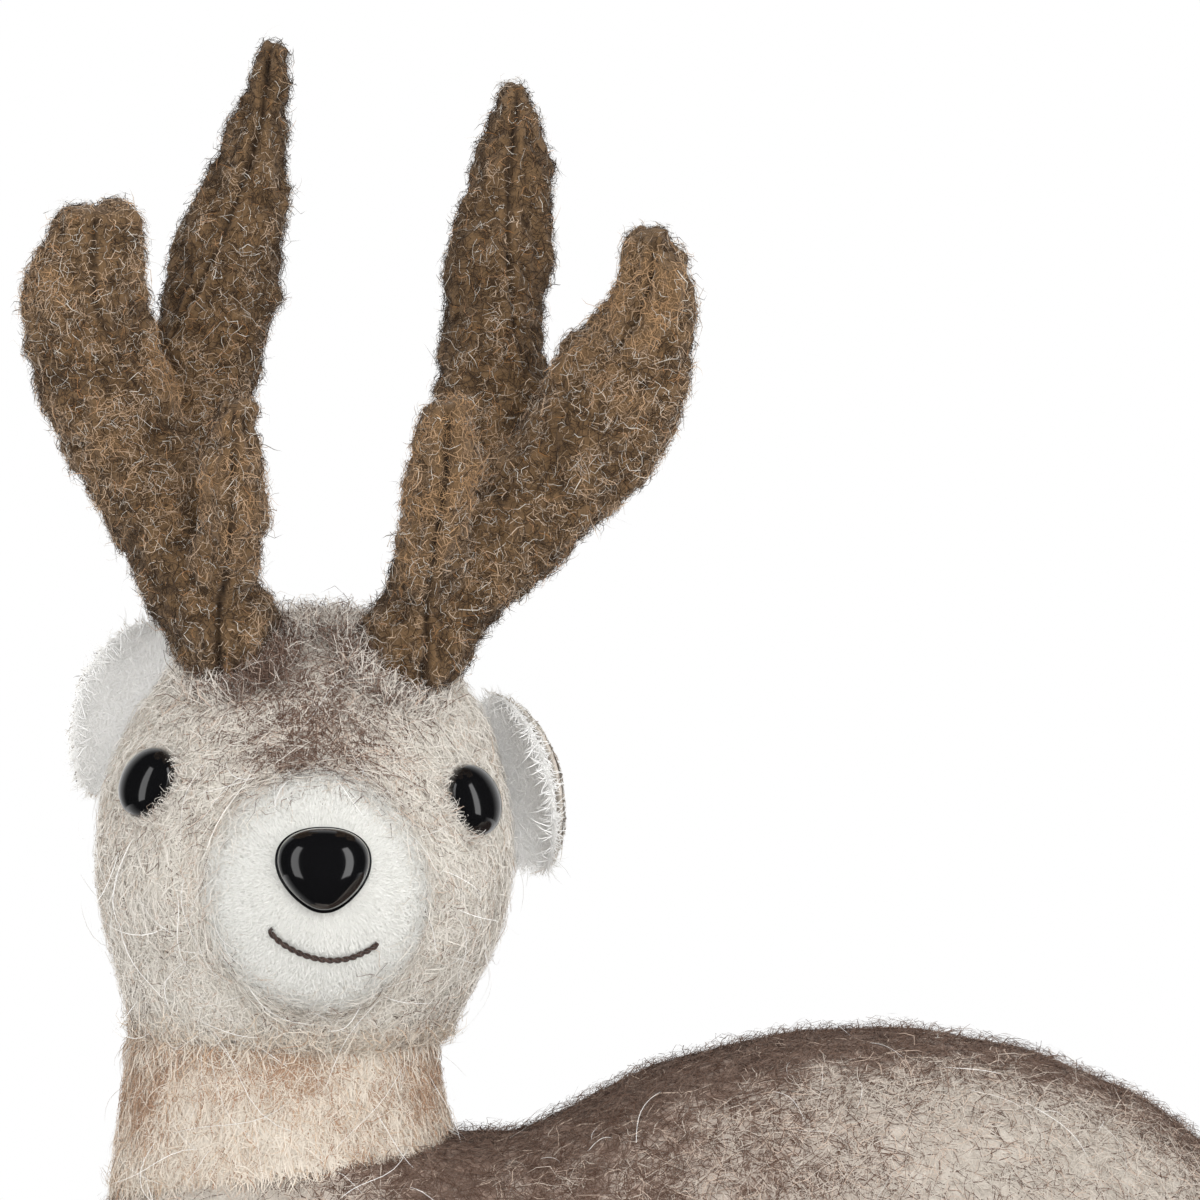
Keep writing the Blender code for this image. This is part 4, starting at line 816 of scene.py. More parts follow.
def headBrown(points):
    # The forehead's marks with fine streaks, fading backwards, the nape's stripe and the cheeks' marks.
    x, y, z = fromNeck(points)
    marks = blots(x, z, coat["forehead"])
    across, slant, along = coat["streakSlant"]
    drawn = np.column_stack([x * across + z * slant, y, z * along])
    streaks = coat["streak"] * np.clip(softNoise(drawn, coat["streakSize"], 30), 0, 1)
    ahead = marks + streaks * ease(z, *coat["streakFrom"])
    back = np.maximum(napeBrown(x, y, "headNape"), marks * np.exp(-np.maximum(y, 0) / coat["headFade"]))
    share = np.where(y < 0, ahead, back) * ease(z, *coat["headFrom"]) + blots(x, z, coat["cheeks"]) * (y < 0)
    return mottled(share + coat["headTrace"], points, "head")


def neckBrown(points):
    # The throat's marks in front and the nape's stripe behind.
    x, y, z = fromNeck(points)
    share = np.maximum(blots(x, z, coat["throat"]) * (y < 10), napeBrown(x, y, "neckNape"))
    return mottled(share + coat["neckTrace"], points, "neck")


def bodyBrown(points):
    # The upper flank's brown, faded downwards, and a band along the ridge, with less on the far flank.
    x, y, z = fromNeck(points)
    below = np.maximum(straight(x, coat["ridge"]) - z, 0)
    share = (straight(x, coat["flank"]) * (1 - ease(below, *coat["saddle"]))
             + straight(x, coat["band"]) * bell(below, coat["bandWide"]))
    share = share * ease(x, *coat["chest"]) + coat["bodyTrace"] - coat["farTrace"] * ease(y, 0, 20)
    return mottled(share, points, "body")


def limbBrown(points):
    # A trace, more of it near the table.
    least, more = coat["limbTrace"]
    return mottled(least + more * (1 - ease(fromNeck(points)[2], 8, 30)), points, "limb")


def earBrown(points):
    # The same share all over.
    return mottled(np.full(len(points), coat["earTrace"]), points, "ear")


def tailBrown(points):
    # Brown above a slanted line along the tail.
    x, y, z = fromNeck(points)
    (start, slope, height), (least, more) = coat["tailLine"], coat["tailBrown"]
    return mottled(least + more * ease(x - (start - slope * (z - height)), -3, 4), points, "tail")


def feltBrownAndShade(points):
    # Brown in a few wide patches, plus painted shade: darker in the felt's hollows, lighter on its lumps,
    # darker behind and at the root, and lighter in front.
    away = points[:, 1] - neckFoot[1]
    # Painted shade: darker where the felt's bumps go in, lighter on their tops.
    share = coat["feltMean"] - coat["feltHollow"] * feltNoise(points)
    for strength, size, seed in (coat["feltWide"], coat["feltFine"]):
        share = share + strength * softNoise(points, size, seed)
    # Painted shade behind and towards the root, painted light in front.
    back, *backSpan = coat["feltBehind"]
    front, *frontSpan = coat["feltFront"]
    root, *rootSpan = coat["feltRoot"]
    share = share + back * ease(away, *backSpan) - front * ease(-away, *frontSpan)
    return np.clip(share + root * (1 - ease(points[:, 2], *rootSpan)), 0.05, 0.99)


def groundOf(piece, brown=None):
    # What the fibres need of the surface that they grow from: its points, normals, triangles, brown share,
    # and how fast it curves, as the mean over each point's edges of the turn per metre times the edge's
    # direction squared.
    mesh = piece.data
    points, normals = pointsOf(piece), normalsOf(piece)
    share = brown(points) if brown else np.zeros(len(points))
    setShare(mesh, "brown", share)
    mesh.calc_loop_triangles()
    triangles = np.empty(len(mesh.loop_triangles) * 3, np.int32)
    mesh.loop_triangles.foreach_get("vertices", triangles)
    edges = np.empty(len(mesh.edges) * 2, np.int32)
    mesh.edges.foreach_get("vertices", edges)
    a, b = edges.reshape(-1, 2).T
    apart = points[b] - points[a]
    bend = ((normals[b] - normals[a]) * apart).sum(1) / np.maximum((apart ** 2).sum(1), 1e-12)
    along = unit(apart)
    count = len(points)
    met = np.maximum(np.bincount(a, minlength=count) + np.bincount(b, minlength=count), 1)
    curve = np.empty((count, 3, 3))
    for i, j in np.ndindex(3, 3):
        part = bend * along[:, i] * along[:, j]
        curve[:, i, j] = (np.bincount(a, part, count) + np.bincount(b, part, count)) / met
    return {"points": points, "normals": normals, "triangles": triangles.reshape(-1, 3), "curve": curve,
            "brown": share}


strand = {
    "steps": 4, "curlSpread": (0.4, 1.3), "turnSpread": (0.7, 1.3), "liftSpread": 0.45,
    "baseSpread": (0.2, 1.0), "widthSpread": (0.7, 1.25), "taper": 0.55, "curveLimits": (-60, 240),
    "angleLimits": (-1, 2.2), "overTable": 0.2 * mm,
}


def spreadRoots(rng, ground, count, density):
    # Roots over the triangles by area times density: a triangle by its part of the sum and a point inside
    # it, with what the ground has there.
    corner = ground["points"][ground["triangles"]]
    chance = np.linalg.norm(np.cross(corner[:, 1] - corner[:, 0], corner[:, 2] - corner[:, 0]), axis=1)
    if density is not None:
        chance = chance * density(corner.mean(1), ground["normals"][ground["triangles"]].mean(1))
    chance = np.cumsum(chance) / chance.sum()
    pick = np.minimum(np.searchsorted(chance, rng.random(count)), len(chance) - 1)
    u, v = rng.random(count), rng.random(count)
    u, v = np.where(u + v > 1, 1 - u, u), np.where(u + v > 1, 1 - v, v)
    mix = np.stack([1 - u - v, u, v], axis=1)[:, :, None]
    chosen = ground["triangles"][pick]
    root = (ground["points"][chosen] * mix).sum(1)
    normal = unit((ground["normals"][chosen] * mix).sum(1))
    curve = (ground["curve"][chosen] * mix[:, :, :, None]).sum(1)
    return root, normal, curve, (ground["brown"][chosen] * mix[:, :, 0]).sum(1)


def fibrePaths(rng, look, root, normal, curve, ahead, length):
    # The heading turns as it goes, bend * s + curl * sin(turns * s + phase). The path is the sum of those
    # headings in the tangent plane, laid on a circle of the surface's own curve k that way, sin(k r) / k
    # out and (1 - cos(k r)) / k down, and lifted towards the tip.
    count, rows = look["count"], look["rows"]
    fine = strand["steps"] * rows
    s = (np.arange(fine) + 0.5) / fine
    heading = (rng.normal(0, look["bend"], count)[:, None] * s
               + look["curl"] * rng.uniform(*strand["curlSpread"], count)[:, None]
               * np.sin(look["turns"] * rng.uniform(*strand["turnSpread"], count)[:, None] * s * math.tau
                        + rng.uniform(0, math.tau, count)[:, None]))
    still, stride = np.zeros((count, 1)), length[:, None] / fine
    x, y = (np.concatenate([still, np.cumsum(part(heading) * stride, 1)], 1)[:, ::strand["steps"]]
            for part in (np.cos, np.sin))
    part = np.linspace(0, 1, rows + 1)
    lift = look["lift"] * mm * np.abs(rng.normal(1, strand["liftSpread"], count))[:, None] * (
        part ** look["rise"] + look["arch"] * np.sin(part * math.pi)[None])
    reach = np.maximum(np.hypot(x, y), 1e-7)
    aside = np.cross(normal, ahead)
    way = (ahead[:, None] * x[:, :, None] + aside[:, None] * y[:, :, None]) / reach[:, :, None]
    k = np.clip(2 * np.einsum("nsi,nij,nsj->ns", way, curve, way), *strand["curveLimits"])
    k = np.where(np.abs(k) < 1, 1, k)
    angle = np.clip(k * reach, *strand["angleLimits"])
    here = unit(normal[:, None] * np.cos(angle)[:, :, None] + way * np.sin(angle)[:, :, None])
    height = look["base"] * mm * rng.uniform(*strand["baseSpread"], count)[:, None] + lift
    out, down = (np.sin(angle) / k)[:, :, None], ((1 - np.cos(angle)) / k)[:, :, None]
    return root[:, None] + way * out - normal[:, None] * down + here * height[:, :, None], here


def ribbonPoints(rng, look, path, here):
    # Each ribbon's two edges, half its width to either side of its path, and its tip.
    count, rows = look["count"], look["rows"]
    direction = unit(np.gradient(path, axis=1))
    across = unit(np.cross(direction, here))
    roll = rng.normal(0, look["roll"], count)[:, None, None]
    across = across * np.cos(roll) + np.cross(direction, across) * np.sin(roll)
    part = np.linspace(0, 1, rows + 1)
    half = (look["width"] * mm / 2 * rng.uniform(*strand["widthSpread"], count)[:, None, None]
            * (1 - strand["taper"] * part[None, :rows, None] ** 2))
    left = path[:, :rows] - across[:, :rows] * half
    right = path[:, :rows] + across[:, :rows] * half
    return np.concatenate([np.stack([left, right], 2).reshape(count, rows * 2, 3), path[:, -1:]], axis=1)


def growFibres(name, ground, look, flow, density=None, trim=None):
    # Each fibre is a ribbon from its root along the flow, which strays at random, of a random length. Its
    # quads end in one triangle, and the materials read its share along, its tone, shade and brown.
    rng = np.random.default_rng(look["seed"])
    count, rows = look["count"], look["rows"]
    root, normal, curve, brown = spreadRoots(rng, ground, count, density)
    ahead = unit(flow(root, normal)) + look["stray"] * rng.normal(size=(count, 3))
    ahead = unit(ahead - normal * (ahead * normal).sum(1, keepdims=True))
    length = look["length"] * mm * np.exp(np.clip(rng.normal(0, look["uneven"], count), -1, 0.6))
    if trim is not None:
        length = length * trim(root, normal)
    path, here = fibrePaths(rng, look, root, normal, curve, ahead, length)
    if look["onTable"]:
        path[:, :, 2] = np.maximum(path[:, :, 2], strand["overTable"])
    points = ribbonPoints(rng, look, path, here)
    each = rows * 2 + 1
    step = np.arange(rows - 1) * 2
    quads = np.stack([step, step + 1, step + 3, step + 2], 1).ravel()
    corners = np.concatenate([quads, [each - 3, each - 2, each - 1]])
    sizes = np.tile(np.concatenate([np.full(rows - 1, 4), [3]]), count)
    corners = (corners[None] + each * np.arange(count)[:, None]).ravel()
    mesh = buildMesh(name, points.reshape(-1, 3), corners, sizes)
    mesh.shade_smooth()
    alongEach = np.concatenate([np.repeat(np.linspace(0, 1, rows + 1)[:rows], 2), [1.0]])
    setShare(mesh, "along", np.tile(alongEach, count))
    setShare(mesh, "tone", np.repeat(rng.random(count), each))
    setShare(mesh, "shade", np.repeat(rng.random(count), each))
    setShare(mesh, "brown", np.repeat(brown, each))
    addBakeMap(mesh, count, rows, alongEach, corners)
    return addPiece(name, mesh)


def addBakeMap(mesh, count, rows, alongEach, corners):
    # The map that a bake uses: each fibre has its own tall cell, with its two edges and its tip in it.
    columns = int(math.ceil(math.sqrt(count / 4)))
    lines = math.ceil(count / columns)
    cell = np.arange(count)
    sideEach = np.concatenate([np.tile([0.15, 0.85], rows), [0.5]])
    across = (cell % columns)[:, None] + sideEach[None]
    along = (cell // columns)[:, None] + 0.1 + 0.8 * alongEach[None]
    flat = np.stack([across / columns, along / lines], axis=2).reshape(-1, 2)
    bake = mesh.uv_layers.new(name="OFBake")
    bake.data.foreach_set("uv", flat[corners].astype(np.float32).ravel())


def addNode(tree, kind, values=None, **settings):
    # A node whose inputs are linked where the value is a socket, and set where it is a number or a colour.
    node = tree.nodes.new(kind)
    for key, value in settings.items():
        setattr(node, key, value)
    for key, value in (values or {}).items():
        if isinstance(value, bpy.types.NodeSocket):
            tree.links.new(value, node.inputs[key])
        else:
            node.inputs[key].default_value = value
    return node


def maths(tree, operation, a, b=0.0, clamp=False):
    # Two values added, multiplied or compared.
    return addNode(tree, "ShaderNodeMath", {0: a, 1: b}, operation=operation, use_clamp=clamp).outputs[0]


def mixed(tree, share, a, b, blend="MIX"):
    # Two colours mixed by a share.
    node = addNode(tree, "ShaderNodeMix", {0: share, 6: a, 7: b}, data_type="RGBA", blend_type=blend)
    return node.outputs[2]


def remapped(tree, value, low, high, out0=0.0, out1=1.0):
    # A value carried from the range low to high over to the range out0 to out1.
    return addNode(tree, "ShaderNodeMapRange", {0: value, 1: low, 2: high, 3: out0, 4: out1}).outputs[0]


def brightened(tree, colour, level):
    # A colour times a plain level.
    grey = addNode(tree, "ShaderNodeCombineColor", {0: level, 1: level, 2: level}).outputs[0]
    return mixed(tree, 1.0, colour, grey, "MULTIPLY")


def objectPlace(tree):
    # The place on the piece, in metres.
    return tree.nodes.new("ShaderNodeTexCoord").outputs["Object"]


def noiseAt(tree, place, scale, detail=3.0, distortion=0.0):
    # A smooth noise, 0 to 1.
    return addNode(tree, "ShaderNodeTexNoise", {"Vector": place, "Scale": scale, "Detail": detail,
                                                "Distortion": distortion}).outputs[0]


def addBump(tree, shader, height, strength, depth):
    # A height that tilts the shader's normal.
    bumped = addNode(tree, "ShaderNodeBump", {"Strength": strength, "Distance": depth, "Height": height})
    tree.links.new(bumped.outputs[0], shader.inputs["Normal"])


def newGroup(name, inputs, outputs):
    # A node group. An input with four numbers is a colour and any other one a number.
    group = bpy.data.node_groups.new(name, "ShaderNodeTree")
    for label, value in inputs.items():
        kind = "NodeSocketColor" if isinstance(value, tuple) else "NodeSocketFloat"
        group.interface.new_socket(label, in_out="INPUT", socket_type=kind).default_value = value
    for label, kind in outputs.items():
        group.interface.new_socket(label, in_out="OUTPUT", socket_type=kind)
    return group, group.nodes.new("NodeGroupInput").outputs, group.nodes.new("NodeGroupOutput").inputs


def coatColourGroup():
    # A fibre is brown where its tone is below the brown share, otherwise light or tan; each has its own
    # brightness, and roots are darker than tips, a painted shade of the fibres lying over them.
    tree, given, put = newGroup("coatColour", {
        "Brown share": 0.0, "Tone": 0.5, "Shade": 0.5, "Along": 0.5, "Light": (0.7, 0.65, 0.57, 1),
        "Tan": (0.5, 0.4, 0.3, 1), "Dark": (0.12, 0.08, 0.06, 1), "Tan share": 0.15, "Contrast": 0.3,
        "Root": 0.75, "Dark swing": 0.3}, {"Color": "NodeSocketColor"})
    isDark = maths(tree, "LESS_THAN", given["Tone"], given["Brown share"])
    isTan = maths(tree, "GREATER_THAN", given["Tone"], maths(tree, "SUBTRACT", 1.0, given["Tan share"]))
    warm = mixed(tree, maths(tree, "MULTIPLY", given["Brown share"], 0.55), given["Light"], given["Tan"])
    colour = mixed(tree, isTan, warm, given["Tan"])
    paler = maths(tree, "MULTIPLY", given["Shade"], given["Dark swing"])
    darker = mixed(tree, paler, given["Dark"], given["Tan"])
    colour = mixed(tree, isDark, colour, darker)
    swing = maths(tree, "MULTIPLY", maths(tree, "SUBTRACT", given["Shade"], 0.5), given["Contrast"])
    # Painted shade: darker towards the root, where the other fibres shade it.
    root = remapped(tree, given["Along"], 0.0, 0.6, given["Root"], 1.0)
    level = maths(tree, "MULTIPLY", maths(tree, "ADD", 1.0, swing), root)
    tree.links.new(brightened(tree, colour, level), put["Color"])
    return tree


def clothGroup():
    # The felted ground under the fibres: fine streaks of noise, a wide mottle, and their sum as a height.
    tree, given, put = newGroup("feltedCloth", {
        "Scale": 1.0, "Light": (0.7, 0.65, 0.57, 1), "Dark": (0.2, 0.15, 0.12, 1), "Brown share": 0.0},
        {"Color": "NodeSocketColor", "Height": "NodeSocketFloat"})
    place = objectPlace(tree)
    fine = noiseAt(tree, place, maths(tree, "MULTIPLY", given["Scale"], 1400.0), 3.0, 1.5)
    wide = noiseAt(tree, place, maths(tree, "MULTIPLY", given["Scale"], 260.0), 4.0, 0.8)
    mottle = maths(tree, "MULTIPLY", remapped(tree, wide, 0.3, 0.7, -0.25, 0.25), given["Brown share"])
    share = maths(tree, "ADD", given["Brown share"], mottle, True)
    level = remapped(tree, fine, 0.3, 0.7, 0.78, 1.12)
    tree.links.new(brightened(tree, mixed(tree, share, given["Light"], given["Dark"]), level), put["Color"])
    tree.links.new(maths(tree, "ADD", fine, maths(tree, "MULTIPLY", wide, 0.6)), put["Height"])
    return tree


coatColour, feltedCloth = coatColourGroup(), clothGroup()


def newMaterial(name, **shaderValues):
    # Numbers that are the same all over go straight onto the shader's own sockets.
    made = bpy.data.materials.new(name)
    made.use_nodes = True
    shader = made.node_tree.nodes["Principled BSDF"]
    for key, value in shaderValues.items():
        shader.inputs[key].default_value = value
    return made, made.node_tree, shader


def readShare(tree, name):
    # A number that the mesh holds for each point.
    return addNode(tree, "ShaderNodeAttribute", attribute_name=name).outputs["Fac"]


def fibreMaterial(name, light, tan, dark, tanShare, contrast, root, gain=1.0, roughness=0.7, sheen=0.02,
                  swing=0.22):
    # Each fibre's colour from its own shares; the gain sets how much of the coat's brown it takes.
    made, tree, shader = newMaterial(name, **{"Roughness": roughness, "Sheen Weight": sheen,
                                              "Sheen Roughness": 0.5, "Specular IOR Level": 0.12})
    group = addNode(tree, "ShaderNodeGroup", {
        "Brown share": maths(tree, "MULTIPLY", readShare(tree, "brown"), gain, True),
        "Tone": readShare(tree, "tone"), "Shade": readShare(tree, "shade"),
        "Along": readShare(tree, "along"), "Light": (*light, 1), "Tan": (*tan, 1), "Dark": (*dark, 1),
        "Tan share": tanShare, "Contrast": contrast, "Root": root, "Dark swing": swing},
        node_tree=coatColour)
    tree.links.new(group.outputs["Color"], shader.inputs["Base Color"])
    return made


def clothMaterial(name, light, dark, scale=1.0, bump=0.3, sheen=0.05):
    # Felted cloth between two colours, with its noise as a slight relief.
    made, tree, shader = newMaterial(name, **{"Roughness": 0.9, "Sheen Weight": sheen, "Sheen Roughness": 0.6,
                                              "Specular IOR Level": 0.1})
    group = addNode(tree, "ShaderNodeGroup", {"Scale": scale, "Light": (*light, 1), "Dark": (*dark, 1),
                                              "Brown share": readShare(tree, "brown")}, node_tree=feltedCloth)
    tree.links.new(group.outputs["Color"], shader.inputs["Base Color"])
    addBump(tree, shader, group.outputs["Height"], bump, 0.4 * mm)
    return made


colours = {
    "cream": (0.70, 0.665, 0.60), "tan": (0.57, 0.45, 0.365), "brown": (0.098, 0.053, 0.037),
    "rust": (0.40, 0.25, 0.165), "bodyCream": (0.555, 0.505, 0.445), "bodyCurl": (0.565, 0.515, 0.455),
    "headCurl": (0.78, 0.74, 0.68), "neckCream": (0.75, 0.68, 0.59), "neckTan": (0.62, 0.47, 0.34),
    "white": (0.73, 0.725, 0.69), "paleWhite": (0.82, 0.81, 0.78), "earWhite": (0.89, 0.885, 0.87),
    "earCream": (0.86, 0.85, 0.83), "grey": (0.6, 0.6, 0.6), "feltTan": (0.375, 0.22, 0.106),
    "felt": (0.046, 0.025, 0.012), "silver": (0.60, 0.555, 0.49), "curlTan": (0.36, 0.22, 0.105),
    "orange": (0.42, 0.19, 0.06), "hairTan": (0.8, 0.78, 0.74), "hairDark": (0.7, 0.68, 0.65),
}
coatCloth = clothMaterial("coatCloth", (0.65, 0.605, 0.54), (0.31, 0.22, 0.175))
neckClothLook = clothMaterial("neckCloth", (0.77, 0.68, 0.58), (0.34, 0.24, 0.18))
earCloth = clothMaterial("earCloth", (0.90, 0.90, 0.89), (0.86, 0.86, 0.84), 1.6, 0.1, 0.8)
pileCloth = clothMaterial("pileCloth", (0.73, 0.725, 0.69), (0.68, 0.67, 0.64), 1.6, 0.15)
antlerCloth = clothMaterial("antlerCloth", (0.15, 0.09, 0.044), (0.030, 0.018, 0.010), 0.8, 0.9, 0.1)
hoofCloth = clothMaterial("hoofFelt", (0.05, 0.032, 0.022), (0.03, 0.02, 0.014), 1.2, 0.8, 0.15)
fibreLooks = {
    # light, tan and dark colour, share of tan fibres, contrast, brightness at the root (painted shade), then
    # gain,
    # roughness, sheen, swing
    "coatFibre": ("cream", "tan", "brown", 0.07, 0.10, 0.96, 0.62),
    "bodyFibre": ("bodyCream", "tan", "brown", 0.10, 0.10, 0.94, 0.96),
    "bodyCurl": ("bodyCurl", "tan", "brown", 0.12, 0.10, 0.96, 1.05),
    "coatCurl": ("headCurl", "tan", "brown", 0.08, 0.12, 0.98, 1.35),
    "neckFibre": ("neckCream", "neckTan", "rust", 0.08, 0.14, 0.93),
    "earFibre": ("earWhite", "earCream", "grey", 0.1, 0.03, 1.0, 0.0, 0.9, 0.8),
    "pileFibre": ("white", "paleWhite", "grey", 0.1, 0.04, 0.97, 0.0, 0.8),
    "longHair": ("earCream", "hairTan", "hairDark", 0.1, 0.2, 1.0, 0.0, 0.35),
    "antlerFibre": ("feltTan", "silver", "felt", 0.025, 0.50, 0.8, 1.0, 0.55, 0.02, 0.03),
    "antlerCurls": ("curlTan", "silver", "orange", 0.38, 0.4, 0.9, 0.40, 0.4, 0.05, 0.2),
}
fibreMaterials = {name: fibreMaterial(name, *(colours[part] for part in look[:3]), *look[3:])
                  for name, look in fibreLooks.items()}


def dress(piece, material):
    # The piece's one material.
    piece.data.materials.clear()
    piece.data.materials.append(material)
    return piece


# How the fibres lie. Bare numbers in a place are millimetres from the foot of the neck's axis, and a pair
# says where something starts and where it ends.
lay = {
    "crown": (9, -18, 196), "crownDrop": 0.3, "noseShare": 0.8, "noseNear": 26 * mm, "noseTurn": (0.6, 1.2),
    "noseAbove": 3 * mm, "back": (0.9, 0.0, -0.35), "flankDrop": 0.5, "rootTurn": 0.6,
    "patchNarrow": 0.20, "patchRough": (0.05, 4 * mm, 50), "patchSelf": 0.1, "discClear": 0.6 * mm,
    "eyeClear": (6.2 * mm, 6.8 * mm), "rootClear": (7.0 * mm, 8.0 * mm), "hairClear": (20 * mm, 26 * mm),
    "chinBand": (2 * mm, 5 * mm), "crownPatch": (9, -16), "crownSize": (9, 12), "crownFrom": (190, 196),
    "rootRing": ((9.5 * mm, 10.5 * mm), (13 * mm, 16 * mm)), "rootFront": (0.4, 6 * mm),
    "eyeRing": (6.3 * mm, 9 * mm), "eyeInner": (0.15, 5 * mm), "nape": (-6 * mm, 16 * mm),
    "farTurn": 0.15, "underTurn": -0.85, "underShare": 0.1, "nearDense": (0.6, 0.8),
    "nearFrom": (60 * mm, 85 * mm), "earFront": (-0.3, 0.1), "earRear": (0.55, 0.9),
    "seamWorn": (0.75, 0.4, 9 * mm, 45), "mouthShort": (0.35, 0.65), "mouthNear": (0.6 * mm, 1.8 * mm),
}


def steady(*direction):
    # The same direction everywhere.
    return lambda points, normals: np.zeros_like(points) + np.array(direction)


downFlow, anyFlow, tailFlow = steady(0, 0, -1), steady(0.1, 0, -0.2), steady(0.5, 0, -0.85)


def crownFlow(points, normals):
    # Away from the crown, and away from the muzzle where that is near.
    crown = neckFoot + np.array(lay["crown"]) * mm
    nose = neckFoot + muzzleMiddle + faceAhead * muzzle["reach"] * lay["noseShare"]
    near = bell(distance(points, nose)[:, None], lay["noseNear"])
    less, more = lay["noseTurn"]
    outward = unit(points - crown) * (1 - less * near) + unit(points - nose) * more * near
    return outward - zAxis * lay["crownDrop"]


def backFlow(points, normals):
    # Towards the rump, and down the flanks.
    down = zAxis * (1 - np.abs(normals[:, 2:])) * lay["flankDrop"]
    return np.array(lay["back"]) + np.zeros_like(points) - down


def noseFlow(points, normals):
    # Away from a point just above the muzzle's tip.
    return points - (neckFoot + muzzleTip + zAxis * lay["noseAbove"])


def whiteShare(points, normals=None):
    # 1 on the white patch: its distance from the middle in half sizes, narrower towards the top, eased.
    local = points - neckFoot - muzzleMiddle
    across, rise = local @ faceAcross / (muzzle["width"] / 2), local[:, 2] / (muzzle["height"] / 2)
    rough, size, seed = lay["patchRough"]
    radius = np.hypot(across * (1 + lay["patchNarrow"] * np.maximum(rise, 0)), rise)
    radius = radius + rough * softNoise(points, size, seed)
    return (1 - ease(radius, *muzzle["edge"])) * (local @ faceAhead > 0)


def patchEdge(points, normals):
    # Strongest half way over the white patch's edge, with a little on the patch.
    share = whiteShare(points)
    return 4 * share * (1 - share) + lay["patchSelf"] * share


def underHead(points, normals):
    # No wool under the eyes' plates, on the seam's disc, on the white patch or inside the antlers' roots.
    share = ease(points[:, 2], head["base"], head["base"] + lay["discClear"]) * (1 - whiteShare(points))
    for side in sides:
        share = share * ease(distance(points, eyePlaces[side][0] + neckFoot), *lay["eyeClear"])
        share = share * ease(distance(points, rootOf(side) + neckFoot), *lay["rootClear"])
    return share


def clearOfRoots(points, normals):
    # No long hair near the ears' and antlers' roots.
    share = underHead(points, normals)
    for side in sides:
        for place in (headSpot(*ears[side]["seat"])[0], headSpot(*antlers[side]["seat"])[0]):
            share = share * ease(distance(points, place + neckFoot), *lay["hairClear"])
    return share


def chinEdge(points, normals):
    # A low band above the seam on the neck.
    return 1 - ease(points[:, 2], *(head["base"] + above for above in lay["chinBand"]))


def crownTop(points, normals):
    # A patch on the crown between the antlers.
    x, y, z = fromNeck(points)
    (across, back), (wide, deep) = lay["crownPatch"], lay["crownSize"]
    return np.exp(-((x - across) / wide) ** 2 - ((y - back) / deep) ** 2) * ease(z, *lay["crownFrom"])


def rootEdge(side):
    # A ring on the head round an antler's root, strongest in front.
    root = rootOf(side) + neckFoot
    (inner, outer), (least, full) = lay["rootRing"], lay["rootFront"]

    def share(points, normals):
        away = distance(points, root)
        ring = ease(away, *inner) * (1 - ease(away, *outer))
        return ring * (least + ease(root[1] - points[:, 1], 0, full))
    return share


def toRoot(side):
    # Up, and partly towards the root.
    root = rootOf(side) + neckFoot
    return lambda points, normals: unit(root - points) * lay["rootTurn"] + zAxis


def eyeEdge(side):
    # A band round the eye, mostly on the side towards the muzzle.
    place = eyePlaces[side][0] + neckFoot
    inward = unit(neckFoot + muzzleTip - place)
    (inner, outer), (least, full) = lay["eyeRing"], lay["eyeInner"]

    def share(points, normals):
        away = distance(points, place)
        band = np.where((away > inner) & (away < outer), 1.0, 0.0)
        return band * (least + ease((points - place) @ inward, 0, full))
    return share


def toEye(side):
    # Towards the eye's middle.
    return lambda points, normals: eyePlaces[side][0] + neckFoot - points


def nape(points, normals):
    # 1 at the back of the neck and 0 at the throat.
    return ease(points[:, 1] - neckFoot[1], *lay["nape"])


def throat(points, normals):
    # 1 at the throat and 0 at the back of the neck.
    return 1 - nape(points, normals)


def underside(normals):
    # A small share underneath and 1 elsewhere.
    return np.where(normals[:, 2] < lay["underTurn"], lay["underShare"], 1.0)


def behind(points, normals):
    # The far flank, thin underneath.
    return np.where(normals[:, 1] >= lay["farTurn"], 1.0, 0.0) * underside(normals)


def facing(points, normals):
    # The near flank, thin underneath and thick near the back.
    least, more = lay["nearDense"]
    top = least + more * ease(points[:, 2], *lay["nearFrom"])
    return np.where(normals[:, 1] < lay["farTurn"], 1.0, 0.0) * underside(normals) * top


def earFront(side):
    # Where an ear's layer faces forwards, with its rim.
    return lambda points, normals: ease(normals @ earFrame(side)[1][:, 2], *lay["earFront"])


def earRear(side):
    # Where an ear's layer faces backwards, without its rim.
    return lambda points, normals: ease(-normals @ earFrame(side)[1][:, 2], *lay["earRear"])


def besideSeam(side, wide, least):
    # 1 away from an antler's sewing line, and down to least on it, over a bell curve of this width.
    mean, swing, size, seed = lay["seamWorn"]

    def share(points, normals):
        worn = mean + swing * softNoise(points, size, seed)
        near = np.clip(bell(seamAway(side, points), wide) * foreOrAft(normals) * worn, 0, 1)
        return 1 - (1 - least) * near
    return share


def faceGround():
    # The head's and the muzzle's skins as one, the hollow between them smoothed, for the fibres alone.
    skin = join([addPiece("face", piece.data.copy()) for piece in (headCloth, muzzlePile)])
    remesh(skin, 1.5 * mm, smooth=8)
    ground = groundOf(skin, headBrown)
    bpy.data.objects.remove(skin)
    return ground


eyes = {"radius": 0.007, "dome": 0.0052, "rim": 0.8 * mm, "soft": 0.25 * mm, "stand": 0.3 * mm,
        "right": (0.600, -46.5), "left": (0.560, 51.5)}
eyePlaces = {side: headSpot(*eyes[side]) for side in sides}


def aimFrame(direction):
    # Columns: across, up and along the direction.
    z = unit(direction)
    x = unit(np.cross(zAxis, z))
    return np.column_stack([x, np.cross(z, x), z])


